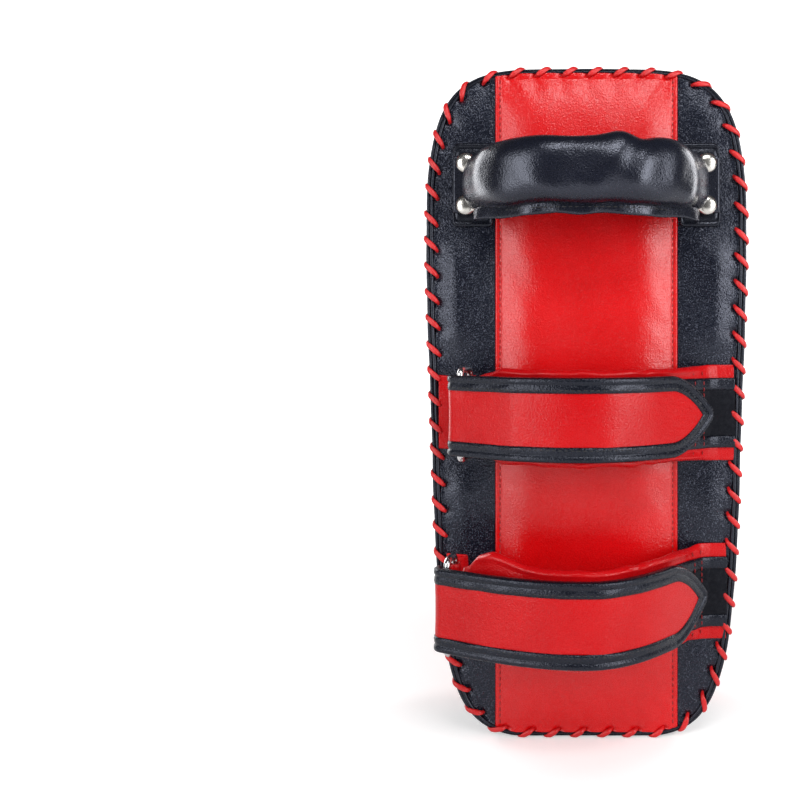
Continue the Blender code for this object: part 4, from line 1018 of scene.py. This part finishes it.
    grid, _ = bindingLine(inset[None], awayLine[None])
    piece = gridPiece(prefix + "FlapBinding", grid, "bindingBlack", loopCols=True, poleFirst=True, poleLast=True)
    settle(piece, body, "binding", prefix + "_flap_binding")
    path, out = bindingLine(np.array([[0.0058]]), np.array([[thick - 0.00005]]))
    normal = np.stack([out[:, 0, 0], -out[:, 0, 1], 0 * out[:, 0, 0]], -1)
    piece = stitchPiece(prefix + "BindingStitching", [stitchRow(path[:, 0], normal, size["thread"])], "blackThread")
    settle(piece, body, "binding")

    hookFar = np.linspace(turnAt - size["hookLength"], turnAt, 60)
    hookRoute, _ = alongRoute(flap, hookFar)
    low = -size["flapThick"] / 2 - 0.0003 - size["tapeThick"]
    piece = band(prefix + "HookTape", hookRoute, size["hookHalf"], low, low + size["tapeThick"], height, "hookTape", 15, 20, 60)
    settle(piece, body, "tape", prefix + "_hook_tape")

    # two sewn lines across the strap where it is fastened down beside the rim
    rows = []
    for x in (0.0610, 0.0675):
        k = np.linspace(-0.0250, 0.0250, 120)
        at = np.interp(x, base[:, 0], far)
        point, out = alongRoute(base, np.full(120, at))
        path = lift(point, out, k, np.interp(at, far, over) + 0.0001 + 0.0017 * (np.abs(k) < 0.0205) - 0.0008 * (np.abs(k) > 0.0240), height)
        normal = np.stack([out[:, 0], -out[:, 1], 0 * out[:, 0]], -1)
        rows.append(stitchRow(path, normal, size["barThread"]))
    settle(stitchPiece(prefix + "StrapStitching", rows, "redThread"), "pad", "red")

    makeRing(prefix, strap)
    makeAnchor(prefix, strap, end)


# wire ring: a rounded rectangle standing from the eye bar to the strap bar, a round section carried along it
def makeRing(prefix, strap):
    size, height = strapSizes, strap["height"]
    eye, bar = np.array(strap["eye"]), np.array(strap["bar"])
    across = unit(bar - eye)
    span, corner, tall = np.linalg.norm(bar - eye), size["ringCorner"], size["ringTall"]
    a = np.linspace(0, math.pi / 2, 14)
    path = np.vstack([np.stack([u + corner * np.cos(a + q * math.pi / 2), w + corner * np.sin(a + q * math.pi / 2)], -1)
                      for q, (u, w) in enumerate([(span - corner, tall - corner), (corner, tall - corner),
                                                  (corner, corner - tall), (span - corner, corner - tall)])])
    path = evenly(np.vstack([path, path[:1]]), 141)[:-1]
    ahead = unit(np.roll(path, -1, 0) - np.roll(path, 1, 0))
    outU, outW = ahead[:, 1], -ahead[:, 0]
    t = np.arange(18) * turn / 18
    wire = size["wire"]
    u = path[:, :1] + outU[:, None] * np.cos(t) * wire
    w = path[:, 1:] + outW[:, None] * np.cos(t) * wire
    side = np.sin(t) * wire
    x = eye[0] + across[0] * u - across[1] * side
    rise = eye[1] + across[1] * u + across[0] * side
    grid = np.stack([x, backPlane - rise, height + w], -1)
    piece = gridPiece(prefix + "Ring", grid, "chrome", loopRows=True, loopCols=True)
    settle(piece, prefix + "_ring", "metal", prefix + "_ring")


# anchor tab: from the laced rim along the panel, up to the ring and once round its eye bar
def makeAnchor(prefix, strap, end):
    size, height = strapSizes, strap["height"]
    eye = strap["eye"]
    half = size["anchorThick"] / 2
    reach = size["wire"] + 0.0003 + half
    flat = 0.0003 + half
    landing = (-end + size["tongue"] * 0.55, flat)
    route = [(-end - size["reach"], flat), (-end, flat), landing]
    if eye[1] - reach > flat + reach:
        begin = 2.9
        first = (eye[0] + reach * math.cos(begin), eye[1] + reach * math.sin(begin))
        side = (first[0] - 0.0008, first[1] - 0.005)
        back = side[0] - landing[0]
        route += [(landing[0] + 0.15 * back, flat + 0.005), (landing[0] + 0.65 * back, (flat + side[1]) / 2 + 0.0015), side]
        sweep = begin - np.arange(17) * 4.9 / 16
    else:
        sweep = -math.pi / 2 + np.arange(17) * 4.9 / 16
    route += [(eye[0] + reach * math.cos(a), eye[1] + reach * math.sin(a)) for a in sweep]
    route = evenly(rounded(np.array(route), 300), 120)
    total = lengths(route)[-1]

    def drawn(d, u, v):  # edges wave a little and the laced end is nipped by the cord
        return (0.0005 * np.sign(u) * np.sin(d / 0.0043 + 2 * u) * step(np.abs(u), 0.8, 1) * step(total - d, 0.0, 0.01),
                0.0002 * np.sin(d / 0.0035) * np.sin(u * 5) * step(total - d, 0.010, 0.02))

    piece = band(prefix + "AnchorTab", route, size["anchorHalf"], -half, half, height, "strapRed", 31, 12, 120, drawn)
    settle(piece, "pad", "red", prefix + "_anchor_tab")


for prefix, strap in straps.items():
    makeStrap(prefix, strap)
print("straps made")


# ---- inner pieces keep their CAD shape under a proper finish

inner = {"strike_foam": "greyFoam", "shock_foam": "paleFoam", "back_foam": "greyFoam", "forearm_cushion": "paleFoam",
         "handle_foam": "paleFoam", "upper_strap_foam": "paleFoam", "lower_strap_foam": "paleFoam"}
for where in ("left", "right"):
    for level in ("top", "bottom"):
        inner["rivet_burr_" + where + "_" + level] = "burrMetal"
for name, finishName in inner.items():
    mesh = nodes[name].data
    mesh.materials.clear()
    mesh.materials.append(finishes[finishName])


# ---- floor, light and camera

# sweep: flat floor that curves up into a backdrop; what the camera and mirrors see of it is near white
def makeStage():
    made, wire, shader = finish("paleFloor")
    shader.inputs["Base Color"].default_value = colour(0.80, 0.80, 0.80)
    shader.inputs["Roughness"].default_value = 0.9
    seen = wire.node("LightPath", out="Is Camera Ray") + wire.node("LightPath", out="Is Transmission Ray") \
        + wire.node("LightPath", out="Is Glossy Ray") * 0.3
    away = wire.node("VectorMath", {0: wire.node("TexCoord", out="Object")}, out="Value", operation="LENGTH")
    share = seen * away.ramp(0.20, 0.75, 0.35 / 1.1, 1.0)
    glow = wire.node("Emission", {"Color": share.mix(colour(0, 0, 0), colour(1, 1, 1)), "Strength": 1.1})
    both = wire.node("AddShader", {0: Wire(made.node_tree, shader.outputs[0]), 1: glow})
    wire.join(made.node_tree.nodes["Material Output"].inputs["Surface"], both)
    finishes["paleFloor"] = made
    bend = np.linspace(0, math.pi / 2, 24)
    y = np.concatenate([[-2.5, 0.0], 1.1 + 0.8 * np.sin(bend), [1.9]])
    z = np.concatenate([[0.0, 0.0], 0.8 - 0.8 * np.cos(bend), [2.6]]) - 0.0002
    x = np.linspace(-3, 3, 7)[:, None]
    grid = np.stack(np.broadcast_arrays(x, y, z), -1)
    gridPiece("floor", grid, "paleFloor")


lights = {
    "leftBox": {"at": (-0.78, -0.92, 0.42), "size": (0.38, 0.8), "power": 6.1},
    "rightBox": {"at": (0.78, -0.92, 0.50), "size": (0.38, 0.8), "power": 8.4},
    "edgeLeft": {"at": (-1.05, -0.70, 0.40), "size": (0.25, 0.7), "power": 1.9},
    "edgeRight": {"at": (1.05, -0.70, 0.44), "size": (0.25, 0.7), "power": 3.0},
    "overhead": {"at": (0.1, -0.85, 1.05), "size": (0.5, 0.2), "power": 4.8},
    "faceLeft": {"at": (-1.10, 0.72, 0.55), "size": (0.55, 1.0), "power": 11.0},
    "faceRight": {"at": (1.10, 0.72, 0.55), "size": (0.55, 1.0), "power": 11.0}}


def aim(thing, place, target):
    from mathutils import Vector
    thing.location = place
    thing.rotation_euler = (Vector(target) - Vector(place)).to_track_quat("-Z", "Y").to_euler()


def makeLights():
    for name, lamp in lights.items():
        data = bpy.data.lights.new(name, "AREA")
        data.shape = "RECTANGLE"
        data.size, data.size_y = lamp["size"]
        data.energy = lamp["power"]
        made = bpy.data.objects.new(name, data)
        bpy.context.scene.collection.objects.link(made)
        aim(made, lamp["at"], (0, 0, 0.2))
    world = bpy.data.worlds.new("studio")
    world.use_nodes = True
    bpy.context.scene.world = world
    wire = Wire(world.node_tree)
    background = world.node_tree.nodes["Background"]
    seen = wire.node("LightPath", out="Is Camera Ray") + wire.node("LightPath", out="Is Transmission Ray")
    mirrored = wire.node("LightPath", out="Is Glossy Ray")
    wire.join(background.inputs["Strength"], 0.12 + seen * 0.88 - mirrored * 0.04)
    background.inputs["Color"].default_value = colour(1, 1, 1)


camera = {"distance": 0.52, "height": 0.240, "lens": 39.05, "shift": (-0.2330, -0.0806)}


def makeCamera():
    data = bpy.data.cameras.new("camera")
    data.sensor_width = 36
    data.lens = camera["lens"]
    data.shift_x, data.shift_y = camera["shift"]
    made = bpy.data.objects.new("camera", data)
    bpy.context.scene.collection.objects.link(made)
    aim(made, (0, backPlane - camera["distance"], camera["height"]), (0, backPlane, camera["height"]))
    bpy.context.scene.camera = made


makeStage()
makeLights()
makeCamera()
bpy.context.scene.view_settings.view_transform = "Standard"
print("scene ready")
